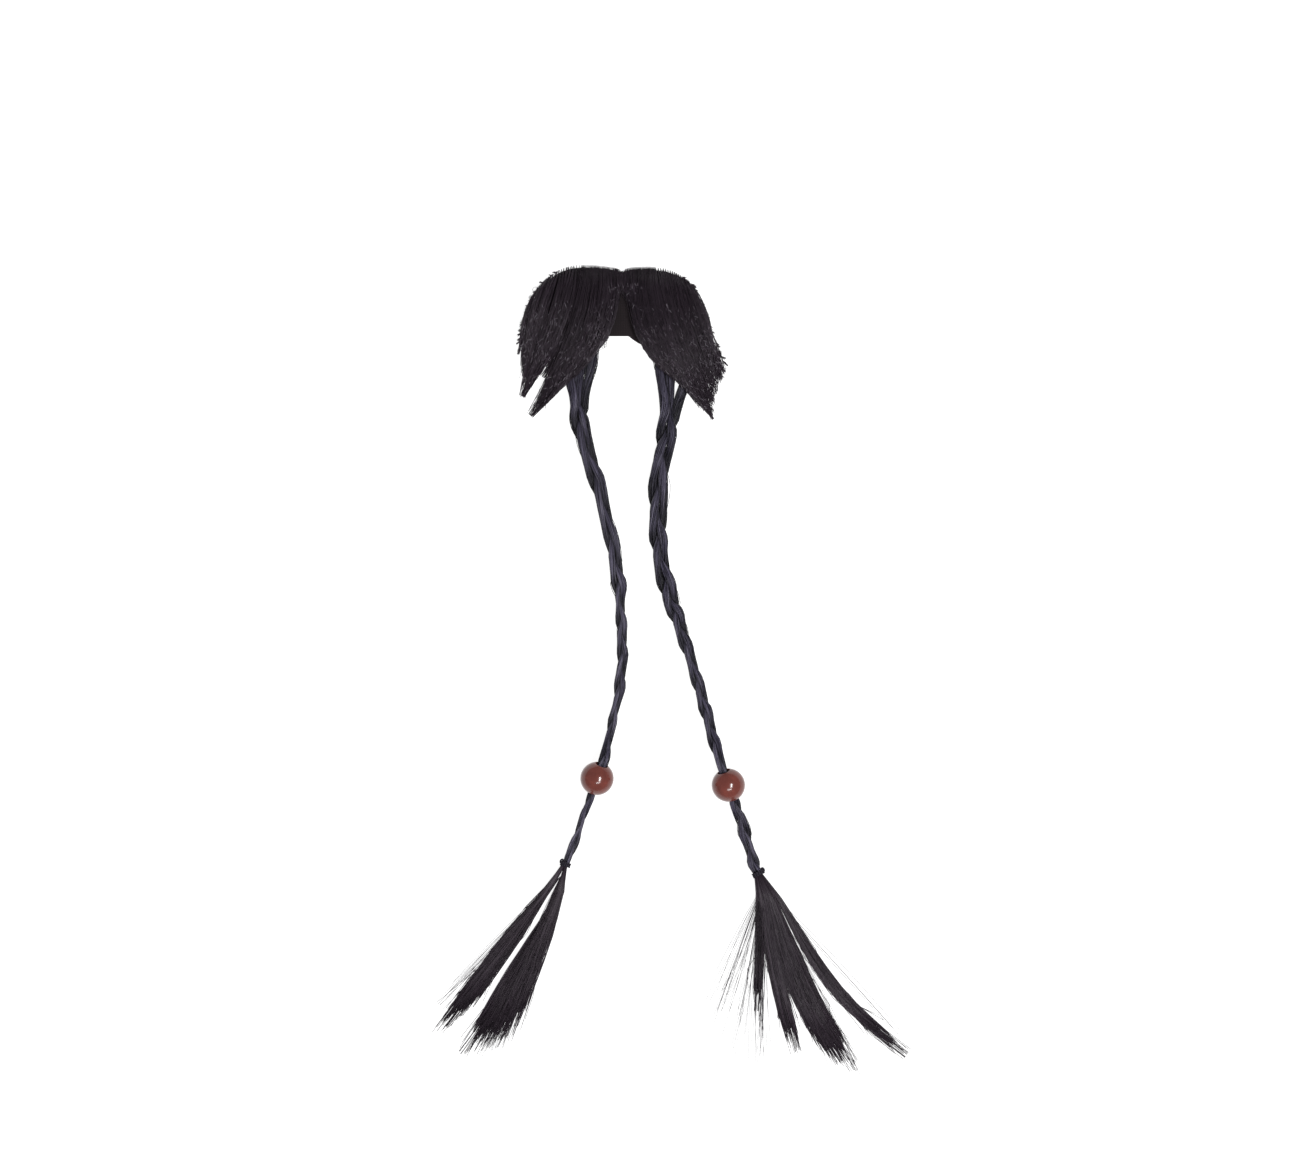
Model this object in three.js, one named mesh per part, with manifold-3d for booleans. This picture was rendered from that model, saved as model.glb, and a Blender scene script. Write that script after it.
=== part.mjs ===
// A stick-on chin beard lying face up: a cloth backing, two sweeps of hair parted in the middle,
// and two plaits that each carry a bead, a tie and a loose tassel.
// Millimetres. +Z points away from the skin, +Y up the face, +X to the right as seen from the front.
// The origin is on the underside of the backing, the face that sticks to the chin.
import * as THREE from "three";
import { LoftGeometry } from "three/addons/geometries/LoftGeometry.js";
import { mergeVertices } from "three/addons/utils/BufferGeometryUtils.js";
import Module from "manifold-3d";

const wasm = await Module();
wasm.setup();

const TURN = 2 * Math.PI;
const UP = new THREE.Vector3(0, 0, 1);

// Turns rows of numbers into records with one field for each named column.
function table(columns, rows) {
  return rows.map((row) => Object.fromEntries(columns.map((column, i) => [column, row[i]])));
}

// Sizes shared by several pieces
const CLEARANCE = 0.3;
const TABLE_GAP = 0.12;

// Backing: an arch whose outline starts at the notch under the parting and runs on to the left.
// Each row is one curve: the points that it bends toward, and its end.
const BACKING_THICKNESS = 1;
const BACKING_NOTCH = [0, 8.9];
const BACKING_OUTLINE = table(
  ["startBendX", "startBendY", "endBendX", "endBendY", "endX", "endY"],
  [
    [-3, 9.8, -8, 10.3, -12, 10.3],
    [-22.6, 10.3, -29, 0, -29.8, -11],
    [-30, -15, -28, -17.5, -24.5, -17.5],
    [-15, -16, -8, -14, -4.6, -10.3],
    [-2.4, -10.3, -0.2, -10.3, 2, -10.3],
    [6, -14, 14, -16.4, 24, -17.5],
    [26.4, -17.5, 26.8, -14, 26.4, -10.5],
    [25.4, 0, 20, 9, 10, 9.6],
    [6, 10, 2, 9.6, ...BACKING_NOTCH],
  ],
);

// Locks of the hair sweeps, from the parting outward. Each runs from its root past a bend to its
// tip. Widths are across the lock, depth is its thickness at the bend, and lift is the height of
// its underside there and at the tip.
const LOCK_COLUMNS = [
  "rootX", "rootY", "bendX", "bendY", "tipX", "tipY",
  "rootWidth", "bendWidth", "tipWidth", "depth", "bendLift", "tipLift",
];
const HAIR_LOCKS = {
  left: table(LOCK_COLUMNS, [
    [-2.7, 9.8, -2.6, -5.6, -7.2, -13.4, 4.4, 5.6, 1.8, 4.2, 1.3, 2.8],
    [-5.8, 10.3, -4.6, -9, -18.2, -24.8, 5, 8.4, 2, 4.8, 2.2, 2.6],
    [-9.8, 10.7, -8.6, -10, -26.7, -32.5, 5, 8.6, 3, 5.2, 2.6, 0.1],
    [-13.8, 10.6, -14.6, -6, -24, -21.2, 5, 9, 4, 5.2, 1.3, 1.6],
    [-17.8, 9.6, -20, -5, -29.4, -27, 5, 8.4, 2.2, 4.8, 1.3, 0.1],
    [-21.4, 7.6, -25, -3, -28.8, -21.4, 4.6, 7, 3, 4, 1.3, 0.1],
    [-24.4, 4.4, -27.8, -3, -29.5, -15.2, 4.2, 5, 3.8, 3.4, 1.3, 0.5],
  ]),
  right: table(LOCK_COLUMNS, [
    [2.9, 9.7, 3.8, -6.8, 10.2, -18.4, 4.4, 6, 2, 4.2, 1.3, 2.8],
    [5.8, 9.8, 6, -9, 19.6, -25.4, 5, 8.6, 1.8, 4.8, 2.2, 2.8],
    [9.6, 9.6, 10, -9, 26.4, -33.7, 5, 8.4, 0.8, 5.2, 4, 0.1],
    [13.4, 8.7, 15.4, -6, 26.6, -28.4, 5, 8.6, 2.4, 5.2, 2.8, 2.4],
    [17, 7, 20.2, -5, 28.6, -23.4, 4.8, 7.8, 2.2, 4.6, 2, 1.2],
    [20.2, 4.2, 21.8, -5, 30.6, -19.4, 4.6, 6, 1.6, 4, 1.3, 0.1],
  ]),
};
const HAIR = {
  rootDepth: 1.8,
  tipDepth: 0.9,
  sections: 7,
  sides: 8,
};

// Plaits: each route runs from under the hair to the tie. The first rows are the fan, where the three
// strands draw together from their roots, and then necks and bellies take turns down the plait.
// Height is that of the plait's middle where it is lifted, and 0 where it lies on the table. Fan is
// how far to the side of the route each strand sets out, and half its width there.
const ROUTE_COLUMNS = ["x", "y", "height", "width"];
const FAN_COLUMNS = ["side", "halfWidth"];
const PLAITS = {
  left: {
    fan: table(FAN_COLUMNS, [[-3.5, 1.65], [0, 1.65], [3.5, 1.65]]),
    knotSide: -1,
    beadRow: 20,
    route: table(ROUTE_COLUMNS, [
      [-12.4, -17.6, 1, 5],
      [-12.9, -24.6, 1.3, 5.2],
      [-12.7, -31.2, 0, 5.4],
      [-12.7, -36, 0, 5.9],
      [-9.9, -46.2, 0, 4.4],
      [-7.7, -53.2, 0, 5.2],
      [-5.4, -61.8, 0, 3.8],
      [-3.2, -71, 0, 4.4],
      [-1.8, -79, 0, 3.8],
      [-0.9, -84.4, 0, 4.8],
      [-0.5, -90.7, 0, 2.6],
      [-0.2, -95.8, 0, 3.6],
      [0, -100.5, 0, 2.9],
      [0.2, -105.4, 0, 3.5],
      [-0.2, -110.4, 0, 2.8],
      [-0.6, -115, 0, 3.7],
      [-1.7, -121.3, 0, 2.1],
      [-2.9, -126.2, 1.3, 2.8],
      [-3.8, -130.4, 2.4, 2.3],
      [-5.2, -136.2, 6.2, 3],
      [-7.4, -142.6, 5, 2.6],
      [-9.4, -148.4, 2.9, 2.3],
      [-11.1, -153, 1.3, 2],
      [-12.6, -157.3, 0, 1.7],
      [-14.3, -162.3, 0, 2.7],
      [-16.9, -168.6, 1.7, 2],
    ]),
  },
  right: {
    fan: table(FAN_COLUMNS, [[-4.1, 1.35], [-0.9, 1.55], [5.2, 1.95]]),
    knotSide: 1,
    beadRow: 21,
    route: table(ROUTE_COLUMNS, [
      [15.4, -18.6, 1, 5],
      [15, -26, 1.5, 5.8],
      [14.4, -34, 0, 6.2],
      [13.3, -39.6, 0, 6.4],
      [12.2, -47, 0, 5.4],
      [10.8, -56.4, 0, 6.2],
      [10.9, -65.4, 0, 5.2],
      [10.9, -71, 0, 5.7],
      [11.7, -77.2, 0, 4.5],
      [13.2, -84.2, 0, 5.8],
      [14.7, -89.7, 0, 4.7],
      [16, -93.2, 0, 5],
      [17.6, -97.8, 0, 3.6],
      [19.1, -102.6, 0, 4.2],
      [20.9, -107.9, 0, 2.9],
      [22.6, -113.8, 0, 3.9],
      [24, -118.5, 0, 3.2],
      [25, -122.3, 0, 4.1],
      [26.5, -127.5, 1.9, 3.1],
      [27.7, -132, 3.2, 3.8],
      [29.4, -137.6, 6.2, 2.7],
      [31.8, -144.6, 5, 2.8],
      [34, -150.8, 2.9, 3.3],
      [35.2, -154.2, 2, 3.1],
      [36.8, -159.1, 0, 4],
      [38.1, -163.7, 0, 2.7],
      [39.4, -168, 0, 3.8],
      [40.8, -171.3, 1.9, 2.6],
    ]),
  },
};
const PLAIT = {
  fanRows: 2,
  rowsPerRound: 6,
  firstStrandThird: 2,
  stationsPerRow: 3,
  sides: 6,
};
// Shares of the plait's half-width: how far a strand's middle swings sideways and up, and the half
// sizes of its section, from where it crosses the middle to where it bulges at the edge
const STRAND_SHARE = {
  sideSwing: 0.6,
  liftSwing: 0.4,
  crossingHalfWidth: 0.19,
  edgeHalfWidth: 0.4,
  crossingHalfDepth: 0.28,
  edgeHalfDepth: 0.35,
};
const PLAIT_FLATNESS = 0.71;
const STRAND_GAP = 0.12;
// The flat strands at the roots, before they meet in the plait
const FAN_STRAND_HALF_DEPTH = 0.9;

// Beads
const BEAD_AXIS = new THREE.Vector3(0, 1, 0);
const BEAD = {
  diameter: 10,
  bore: 3.6,
  sides: 16,
  arcSteps: 8,
};

// Ties: turns of thread side by side, with a knot on one side
const TIE = {
  turns: 3,
  thread: 0.5,
  valleyShare: 0.5,
  stepsPerTurn: 3,
  sides: 12,
  knotRadius: 0.65,
  knotSides: 8,
};

// Locks of the tassels, from left to right. Each runs on from the tie to its tip, and bow is how
// far its middle is drawn to the left of that way, as seen from the tie.
const TASSEL_COLUMNS = ["tipX", "tipY", "bow", "bellyWidth", "tipWidth", "depth"];
const TASSEL_LOCKS = {
  left: table(TASSEL_COLUMNS, [
    [-53, -215.4, -0.6, 3.4, 2.4, 1.8],
    [-47.6, -211.4, -0.6, 3.2, 2, 1.8],
    [-45, -221.2, 1.5, 3, 2.6, 1.9],
    [-39, -219.6, 1, 3.2, 2.8, 2],
    [-32.6, -216.6, 0.4, 3.2, 2.6, 1.9],
  ]),
  right: table(TASSEL_COLUMNS, [
    [40.3, -209, 0, 2.8, 1.2, 1.4],
    [51, -220.8, -1.2, 4.6, 2.4, 1.8],
    [60.4, -223, -2.4, 4.4, 2.8, 1.9],
    [66.8, -225.6, -2.2, 4.2, 2.8, 2],
    [80.6, -221.6, -3.1, 3.6, 2, 1.9],
  ]),
};
const TASSEL = {
  headLength: 3.5,
  headSections: 1,
  headShare: 0.85,
  lockStart: 0.5,
  lockStagger: 0.3,
  lockDepthShare: 0.7,
  straightShare: 0.08,
  settleShare: 0.35,
  tipDepth: 0.8,
  sections: 7,
  sides: 6,
};

// Materials
const hairMaterial = new THREE.MeshStandardMaterial({ color: 0x2b272d, roughness: 0.55, metalness: 0 });
const clothMaterial = new THREE.MeshStandardMaterial({ color: 0x241f22, roughness: 0.95, metalness: 0 });
const beadMaterial = new THREE.MeshStandardMaterial({ color: 0x74453f, roughness: 0.3, metalness: 0 });
const tieMaterial = new THREE.MeshStandardMaterial({ color: 0x221f24, roughness: 0.8, metalness: 0 });

function namedMesh(name, geometry, material) {
  const mesh = new THREE.Mesh(geometry, material);
  mesh.name = name;
  return mesh;
}

// Blends from one value to another with a soft start and end.
function ease(from, to, amount) {
  return THREE.MathUtils.lerp(from, to, THREE.MathUtils.smoothstep(amount, 0, 1));
}

// The value at a share t of the way along a curve through a start, a middle and an end value.
function through(start, middle, end, t) {
  return start * (1 - t) * (1 - 2 * t) + middle * 4 * t * (1 - t) + end * t * (2 * t - 1);
}

// A closed geometry as a solid that can be joined and cut. Only positions are kept, so that
// neighbouring faces share their vertices.
function solidOf(geometry) {
  const bare = new THREE.BufferGeometry();
  bare.setIndex(geometry.index);
  bare.setAttribute("position", geometry.attributes.position);
  const { index, attributes } = mergeVertices(bare);
  return new wasm.Manifold(new wasm.Mesh({
    numProp: 3,
    vertProperties: new Float32Array(attributes.position.array),
    triVerts: new Uint32Array(index.array),
  }));
}

// A solid as a geometry again.
function geometryOf(solid) {
  const mesh = solid.getMesh();
  const geometry = new THREE.BufferGeometry();
  geometry.setAttribute("position", new THREE.BufferAttribute(new Float32Array(mesh.vertProperties), 3));
  geometry.setIndex(new THREE.BufferAttribute(new Uint32Array(mesh.triVerts), 1));
  geometry.computeVertexNormals();
  return geometry;
}

// Closed geometries that overlap, joined into one solid.
function fused(geometries) {
  return wasm.Manifold.union(geometries.map(solidOf));
}

// A closed loft through sections that are given as rings of points, as a plain geometry that can
// be cloned without them.
function loft(sections) {
  return new THREE.BufferGeometry().copy(new LoftGeometry(sections, { capStart: true, capEnd: true }));
}

// A flattened, tapering lock of hair along a flat curve: an elliptical section at each step, with
// half-width, depth and the height of the underside given as functions of the share t of the way.
function lockGeometry(curve, halfWidth, depth, underside, steps, sides) {
  const sections = [];
  for (let i = 0; i <= steps; i += 1) {
    const t = i / steps;
    const middle = curve.getPoint(t);
    const along = curve.getTangent(t);
    const across = new THREE.Vector3(-along.y, along.x, 0);
    const ring = [];
    for (let j = 0; j < sides; j += 1) {
      const angle = (TURN * (j + 0.5)) / sides;
      const point = new THREE.Vector3(middle.x, middle.y, underside(t));
      point.addScaledVector(across, halfWidth(t) * Math.cos(angle));
      point.z += (depth(t) / 2) * (1 + Math.sin(angle));
      ring.push(point);
    }
    sections.push(ring);
  }
  return loft(sections);
}

// Backing, grown on every side by a margin
function backingGeometry(margin) {
  const outline = new THREE.Shape();
  outline.moveTo(...BACKING_NOTCH);
  for (const row of BACKING_OUTLINE) {
    outline.bezierCurveTo(row.startBendX, row.startBendY, row.endBendX, row.endBendY, row.endX, row.endY);
  }
  return new THREE.ExtrudeGeometry(outline, {
    depth: BACKING_THICKNESS,
    curveSegments: 8,
    bevelEnabled: margin > 0,
    bevelThickness: margin,
    bevelSize: margin,
    bevelSegments: 1,
  });
}

// Hair sweeps
function hairLock(row) {
  const curve = new THREE.QuadraticBezierCurve(
    new THREE.Vector2(row.rootX, row.rootY),
    new THREE.Vector2(row.bendX, row.bendY),
    new THREE.Vector2(row.tipX, row.tipY),
  );
  const rootLift = BACKING_THICKNESS + CLEARANCE;
  return lockGeometry(
    curve,
    (t) => through(row.rootWidth, row.bendWidth, row.tipWidth, t) / 2,
    (t) => through(HAIR.rootDepth, row.depth, HAIR.tipDepth, t),
    (t) => through(rootLift, row.bendLift, row.tipLift, t),
    HAIR.sections,
    HAIR.sides,
  );
}

// The locks of one side as one body that lies over the backing and clear of it.
function hairGeometry(locks) {
  return geometryOf(fused(locks.map(hairLock)).subtract(solidOf(backingGeometry(CLEARANCE))));
}

// Plaits
function plaitRoute(plait) {
  const lyingHeight = (row) => TABLE_GAP + (PLAIT_FLATNESS * row.width) / 2;
  const points = plait.route.map((row) => new THREE.Vector3(row.x, row.y, row.height || lyingHeight(row)));
  return new THREE.CatmullRomCurve3(points, false, "centripetal");
}

// The middle, the axes across and above, and the half-width of a plait at a row of its route, or
// between two rows.
function plaitStation(plait, route, rowPosition) {
  const lastRow = plait.route.length - 1;
  const row = Math.min(Math.floor(rowPosition), lastRow - 1);
  const width = ease(plait.route[row].width, plait.route[row + 1].width, rowPosition - row);
  const along = route.getTangent(rowPosition / lastRow);
  const across = new THREE.Vector3().crossVectors(UP, along).normalize();
  const above = new THREE.Vector3().crossVectors(along, across);
  return { middle: route.getPoint(rowPosition / lastRow), across, above, halfWidth: width / 2 };
}

function plaitEnd(plait) {
  return plaitStation(plait, plaitRoute(plait), plait.route.length - 1);
}

// One strand's elliptical section, in the plait's own axes. The strand swings side to side once and
// up and down twice in each round, so that it passes over one neighbour and under the other.
function strandSection(plait, strand, rowPosition, halfWidth) {
  const rounds = Math.max(0, rowPosition - PLAIT.fanRows) / PLAIT.rowsPerRound;
  const angle = TURN * (rounds + (strand + PLAIT.firstStrandThird) / 3);
  const edge = Math.sin(angle) ** 2;
  const share = STRAND_SHARE;
  const widthShare = THREE.MathUtils.lerp(share.crossingHalfWidth, share.edgeHalfWidth, edge);
  const depthShare = THREE.MathUtils.lerp(share.crossingHalfDepth, share.edgeHalfDepth, edge);
  const plaited = {
    side: halfWidth * share.sideSwing * Math.sin(angle),
    lift: halfWidth * share.liftSwing * Math.sin(2 * angle),
    halfWidth: halfWidth * widthShare - STRAND_GAP / 2,
    halfDepth: halfWidth * depthShare - STRAND_GAP / 2,
  };
  const fan = plait.fan[strand];
  const met = rowPosition / PLAIT.fanRows;
  return {
    side: ease(fan.side, plaited.side, met),
    lift: ease(0, plaited.lift, met),
    halfWidth: ease(fan.halfWidth, plaited.halfWidth, met),
    halfDepth: ease(FAN_STRAND_HALF_DEPTH, plaited.halfDepth, met),
  };
}

function strandGeometry(plait, strand) {
  const route = plaitRoute(plait);
  const steps = (plait.route.length - 1) * PLAIT.stationsPerRow;
  const sections = [];
  for (let i = 0; i <= steps; i += 1) {
    const rowPosition = i / PLAIT.stationsPerRow;
    const station = plaitStation(plait, route, rowPosition);
    const section = strandSection(plait, strand, rowPosition, station.halfWidth);
    const ring = [];
    for (let j = 0; j < PLAIT.sides; j += 1) {
      const angle = (TURN * j) / PLAIT.sides;
      const point = station.middle.clone();
      point.addScaledVector(station.across, section.side + section.halfWidth * Math.cos(angle));
      point.addScaledVector(station.above, section.lift + section.halfDepth * Math.sin(angle));
      ring.push(point);
    }
    sections.push(ring);
  }
  return loft(sections);
}

// Beads: a ball with a bore along its axis
function beadGeometry() {
  const radius = BEAD.diameter / 2;
  const mouthAngle = Math.asin(BEAD.bore / BEAD.diameter);
  const profile = [];
  for (let i = 0; i <= BEAD.arcSteps; i += 1) {
    const angle = THREE.MathUtils.lerp(Math.PI - mouthAngle, mouthAngle, i / BEAD.arcSteps);
    profile.push(new THREE.Vector2(radius * Math.sin(angle), radius * Math.cos(angle)));
  }
  profile.push(profile[0].clone());
  return new THREE.LatheGeometry(profile, BEAD.sides);
}

function beadMesh(name, plait) {
  const route = plaitRoute(plait);
  const rowShare = plait.beadRow / (plait.route.length - 1);
  const bead = namedMesh(name, beadGeometry(), beadMaterial);
  bead.position.copy(route.getPoint(rowShare));
  bead.quaternion.setFromUnitVectors(BEAD_AXIS, route.getTangent(rowShare));
  return bead;
}

// Ties: a ribbed sleeve with one rib for each turn of thread
function tieGeometry(halfWidth, knotSide) {
  const bore = halfWidth + CLEARANCE / 2;
  const depthShare = (PLAIT_FLATNESS * halfWidth + CLEARANCE / 2) / bore;
  const ribSteps = TIE.turns * TIE.stepsPerTurn;
  const length = TIE.turns * TIE.thread;
  const profile = [];
  for (let i = 0; i <= ribSteps; i += 1) {
    const rib = Math.sin((Math.PI * (i % TIE.stepsPerTurn)) / TIE.stepsPerTurn);
    const thickness = TIE.thread * THREE.MathUtils.lerp(TIE.valleyShare, 1, rib);
    profile.push(new THREE.Vector2(bore + thickness, length * (i / ribSteps - 0.5)));
  }
  profile.push(new THREE.Vector2(bore, length / 2));
  profile.push(new THREE.Vector2(bore, -length / 2));
  profile.push(profile[0].clone());
  const sleeve = new THREE.LatheGeometry(profile, TIE.sides);
  sleeve.scale(1, 1, depthShare);
  const knot = new THREE.SphereGeometry(TIE.knotRadius, TIE.knotSides, TIE.knotSides);
  knot.translate(knotSide * (bore + TIE.thread), 0, 0);
  return geometryOf(fused([sleeve, knot]));
}

function tieMesh(name, plait) {
  const { middle, across, above, halfWidth } = plaitEnd(plait);
  const along = new THREE.Vector3().crossVectors(across, above);
  const tie = namedMesh(name, tieGeometry(halfWidth, plait.knotSide), tieMaterial);
  tie.position.copy(middle).addScaledVector(along, CLEARANCE / 2);
  tie.quaternion.setFromRotationMatrix(new THREE.Matrix4().makeBasis(across, along, above.negate()));
  return tie;
}

// Tassels: locks that set out side by side from a short head inside the tie
function tasselGeometry(plait, locks) {
  const { middle, across, halfWidth } = plaitEnd(plait);
  const rightOfHead = new THREE.Vector2(across.x, across.y);
  const heading = new THREE.Vector2(across.y, -across.x);
  const headStart = new THREE.Vector2(middle.x, middle.y).addScaledVector(heading, CLEARANCE);
  const headEnd = headStart.clone().addScaledVector(heading, TASSEL.headLength);
  const headDepth = 2 * PLAIT_FLATNESS * TASSEL.headShare * halfWidth;
  const head = lockGeometry(
    new THREE.LineCurve(headStart, headEnd),
    (t) => THREE.MathUtils.lerp(TASSEL.headShare, 1, t) * halfWidth,
    () => headDepth,
    () => middle.z - headDepth / 2,
    TASSEL.headSections,
    TASSEL.sides,
  );
  const strips = locks.map((row, i) => {
    const place = i / (locks.length - 1) - 0.5;
    const root = headStart.clone().lerp(headEnd, TASSEL.lockStart + TASSEL.lockStagger * place);
    root.addScaledVector(rightOfHead, place * halfWidth);
    const tip = new THREE.Vector2(row.tipX, row.tipY);
    const way = tip.clone().sub(root);
    const leftOfWay = new THREE.Vector2(-way.y, way.x).normalize();
    const bend = root.clone().addScaledVector(way, 0.5 - TASSEL.straightShare);
    bend.addScaledVector(heading, TASSEL.straightShare * way.length());
    bend.addScaledVector(leftOfWay, 2 * row.bow);
    const rootDepth = TASSEL.lockDepthShare * headDepth;
    return lockGeometry(
      new THREE.QuadraticBezierCurve(root, bend, tip),
      (t) => through(halfWidth, row.bellyWidth, row.tipWidth, t) / 2,
      (t) => through(rootDepth, row.depth, TASSEL.tipDepth, t),
      (t) => ease(middle.z - rootDepth / 2, TABLE_GAP, t / TASSEL.settleShare),
      TASSEL.sections,
      TASSEL.sides,
    );
  });
  return geometryOf(fused([head, ...strips]));
}

const beard = new THREE.Group();
beard.add(namedMesh("backing", backingGeometry(0), clothMaterial));
for (const side of ["left", "right"]) {
  const plait = PLAITS[side];
  beard.add(namedMesh(`hair_${side}`, hairGeometry(HAIR_LOCKS[side]), hairMaterial));
  plait.fan.forEach((_, strand) => {
    beard.add(namedMesh(`braid_${side}_strand_${strand + 1}`, strandGeometry(plait, strand), hairMaterial));
  });
  beard.add(beadMesh(`bead_${side}`, plait));
  beard.add(tieMesh(`tie_${side}`, plait));
  beard.add(namedMesh(`tassel_${side}`, tasselGeometry(plait, TASSEL_LOCKS[side]), hairMaterial));
}

export default beard;
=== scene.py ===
import math
from collections import namedtuple
from functools import partial
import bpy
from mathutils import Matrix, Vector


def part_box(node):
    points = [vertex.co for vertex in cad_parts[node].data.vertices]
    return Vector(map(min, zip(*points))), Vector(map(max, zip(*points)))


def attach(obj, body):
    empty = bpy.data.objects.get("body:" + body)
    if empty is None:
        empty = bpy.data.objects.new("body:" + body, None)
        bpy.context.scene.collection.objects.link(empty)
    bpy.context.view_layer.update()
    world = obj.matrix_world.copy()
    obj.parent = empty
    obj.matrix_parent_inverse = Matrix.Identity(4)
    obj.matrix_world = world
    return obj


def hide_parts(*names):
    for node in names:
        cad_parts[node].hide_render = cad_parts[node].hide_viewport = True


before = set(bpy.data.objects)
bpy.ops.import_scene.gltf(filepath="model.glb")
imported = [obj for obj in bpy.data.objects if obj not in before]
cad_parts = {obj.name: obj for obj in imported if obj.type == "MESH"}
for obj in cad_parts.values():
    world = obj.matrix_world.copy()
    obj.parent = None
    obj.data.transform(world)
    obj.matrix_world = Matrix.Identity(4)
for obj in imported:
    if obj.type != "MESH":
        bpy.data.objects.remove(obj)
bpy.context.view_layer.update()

from types import SimpleNamespace

import bpy
import numpy as np
from mathutils import Matrix, Vector

# A stick-on chin beard lying face up: cloth backing, two sweeps of hair parted in the middle, and two
# plaits that each carry a bead, a tie and a tassel. Every hair is a thin closed tube.
# Shapes are worked out in millimetres, and MM turns them into Blender's metres. +Z points away from the
# skin, +Y up the face and +X to the right as seen from the front.

bl_info = {
    "name": "Plaited Chin Beard",
    "version": (1, 0, 0),
    "blender": (4, 5, 0),
    "location": "View3D > Sidebar > Beard",
    "description": "Builds a stick-on chin beard with two beaded plaits",
    "category": "Object",
}

MM = 0.001
TURN = 2 * math.pi
HALFWAY = 0.5
UP = np.array((0.0, 0.0, 1.0))
BODY = "root"
SIDES = ("left", "right")
OUTWARD = {"left": -1, "right": 1}
STRANDS = (0, 1, 2)

# How far a hair stays above the table, and above the cloth that it lies on
TABLE_GAP = 0.12
CLOTH_GAP = 0.08

# Backing: an arch. Its outline starts at the dip in the middle of its top and runs on to the left. Each row
# is one curve: the points that it bends toward, and its end.
OutlineCurve = namedtuple("OutlineCurve", "start_bend end_bend end")
BACKING_OUTLINE = [
    OutlineCurve((-3, 9.8), (-8, 10.3), (-12, 10.3)),
    OutlineCurve((-22.6, 10.3), (-29, 0), (-29.8, -11)),
    OutlineCurve((-30, -15), (-28, -17.5), (-24.5, -17.5)),
    OutlineCurve((-15, -16), (-8, -14), (-4.6, -10.3)),
    OutlineCurve((-2.4, -10.3), (-0.2, -10.3), (2, -10.3)),
    OutlineCurve((6, -14), (14, -16.4), (24, -17.5)),
    OutlineCurve((26.4, -17.5), (26.8, -14), (26.4, -10.5)),
    OutlineCurve((25.4, 0), (20, 9), (10, 9.6)),
    OutlineCurve((6, 10), (2, 9.6), (0, 8.9)),
]
OUTLINE_STEPS = 10

# Locks of the hair sweeps, from the parting outward. Each runs from its root past a bend to its tip. Widths
# are across the lock, depth is its thickness at the bend, and lift is the height of its underside there and
# at the tip.
Lock = namedtuple("Lock", "root bend tip root_width bend_width tip_width depth bend_lift tip_lift")
HAIR_LOCKS = {
    "left": [
        Lock((-2.7, 9.8), (-2.6, -5.6), (-7.2, -13.4), 4.4, 5.6, 1.8, 4.2, 1.3, 2.8),
        Lock((-5.8, 10.3), (-4.6, -9), (-18.2, -24.8), 5, 8.4, 2, 4.8, 2.2, 2.6),
        Lock((-9.8, 10.7), (-8.6, -10), (-26.7, -32.5), 5, 8.6, 3, 5.2, 2.6, 0.1),
        Lock((-13.8, 10.6), (-14.6, -6), (-24, -21.2), 5, 9, 4, 5.2, 1.3, 1.6),
        Lock((-17.8, 9.6), (-20, -5), (-29.4, -27), 5, 8.4, 2.2, 4.8, 1.3, 0.1),
        Lock((-21.4, 7.6), (-25, -3), (-28.8, -21.4), 4.6, 7, 3, 4, 1.3, 0.1),
        Lock((-24.4, 4.4), (-27.8, -3), (-29.5, -15.2), 4.2, 5, 3.8, 3.4, 1.3, 0.5),
    ],
    "right": [
        Lock((2.9, 9.7), (3.8, -6.8), (10.2, -18.4), 4.4, 6, 2, 4.2, 1.3, 2.8),
        Lock((5.8, 9.8), (6, -9), (19.6, -25.4), 5, 8.6, 1.8, 4.8, 2.2, 2.8),
        Lock((9.6, 9.6), (10, -9), (26.4, -33.7), 5, 8.4, 0.8, 5.2, 4, 0.1),
        Lock((13.4, 8.7), (15.4, -6), (26.6, -28.4), 5, 8.6, 2.4, 5.2, 2.8, 2.4),
        Lock((17, 7), (20.2, -5), (28.6, -23.4), 4.8, 7.8, 2.2, 4.6, 2, 1.2),
        Lock((20.2, 4.2), (21.8, -5), (30.6, -19.4), 4.6, 6, 1.6, 4, 1.3, 0.1),
    ],
}
LOCK_ROOT_DEPTH = 1.8
LOCK_TIP_DEPTH = 0.9
LOCK_ROOT_LIFT = 1.3

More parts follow.
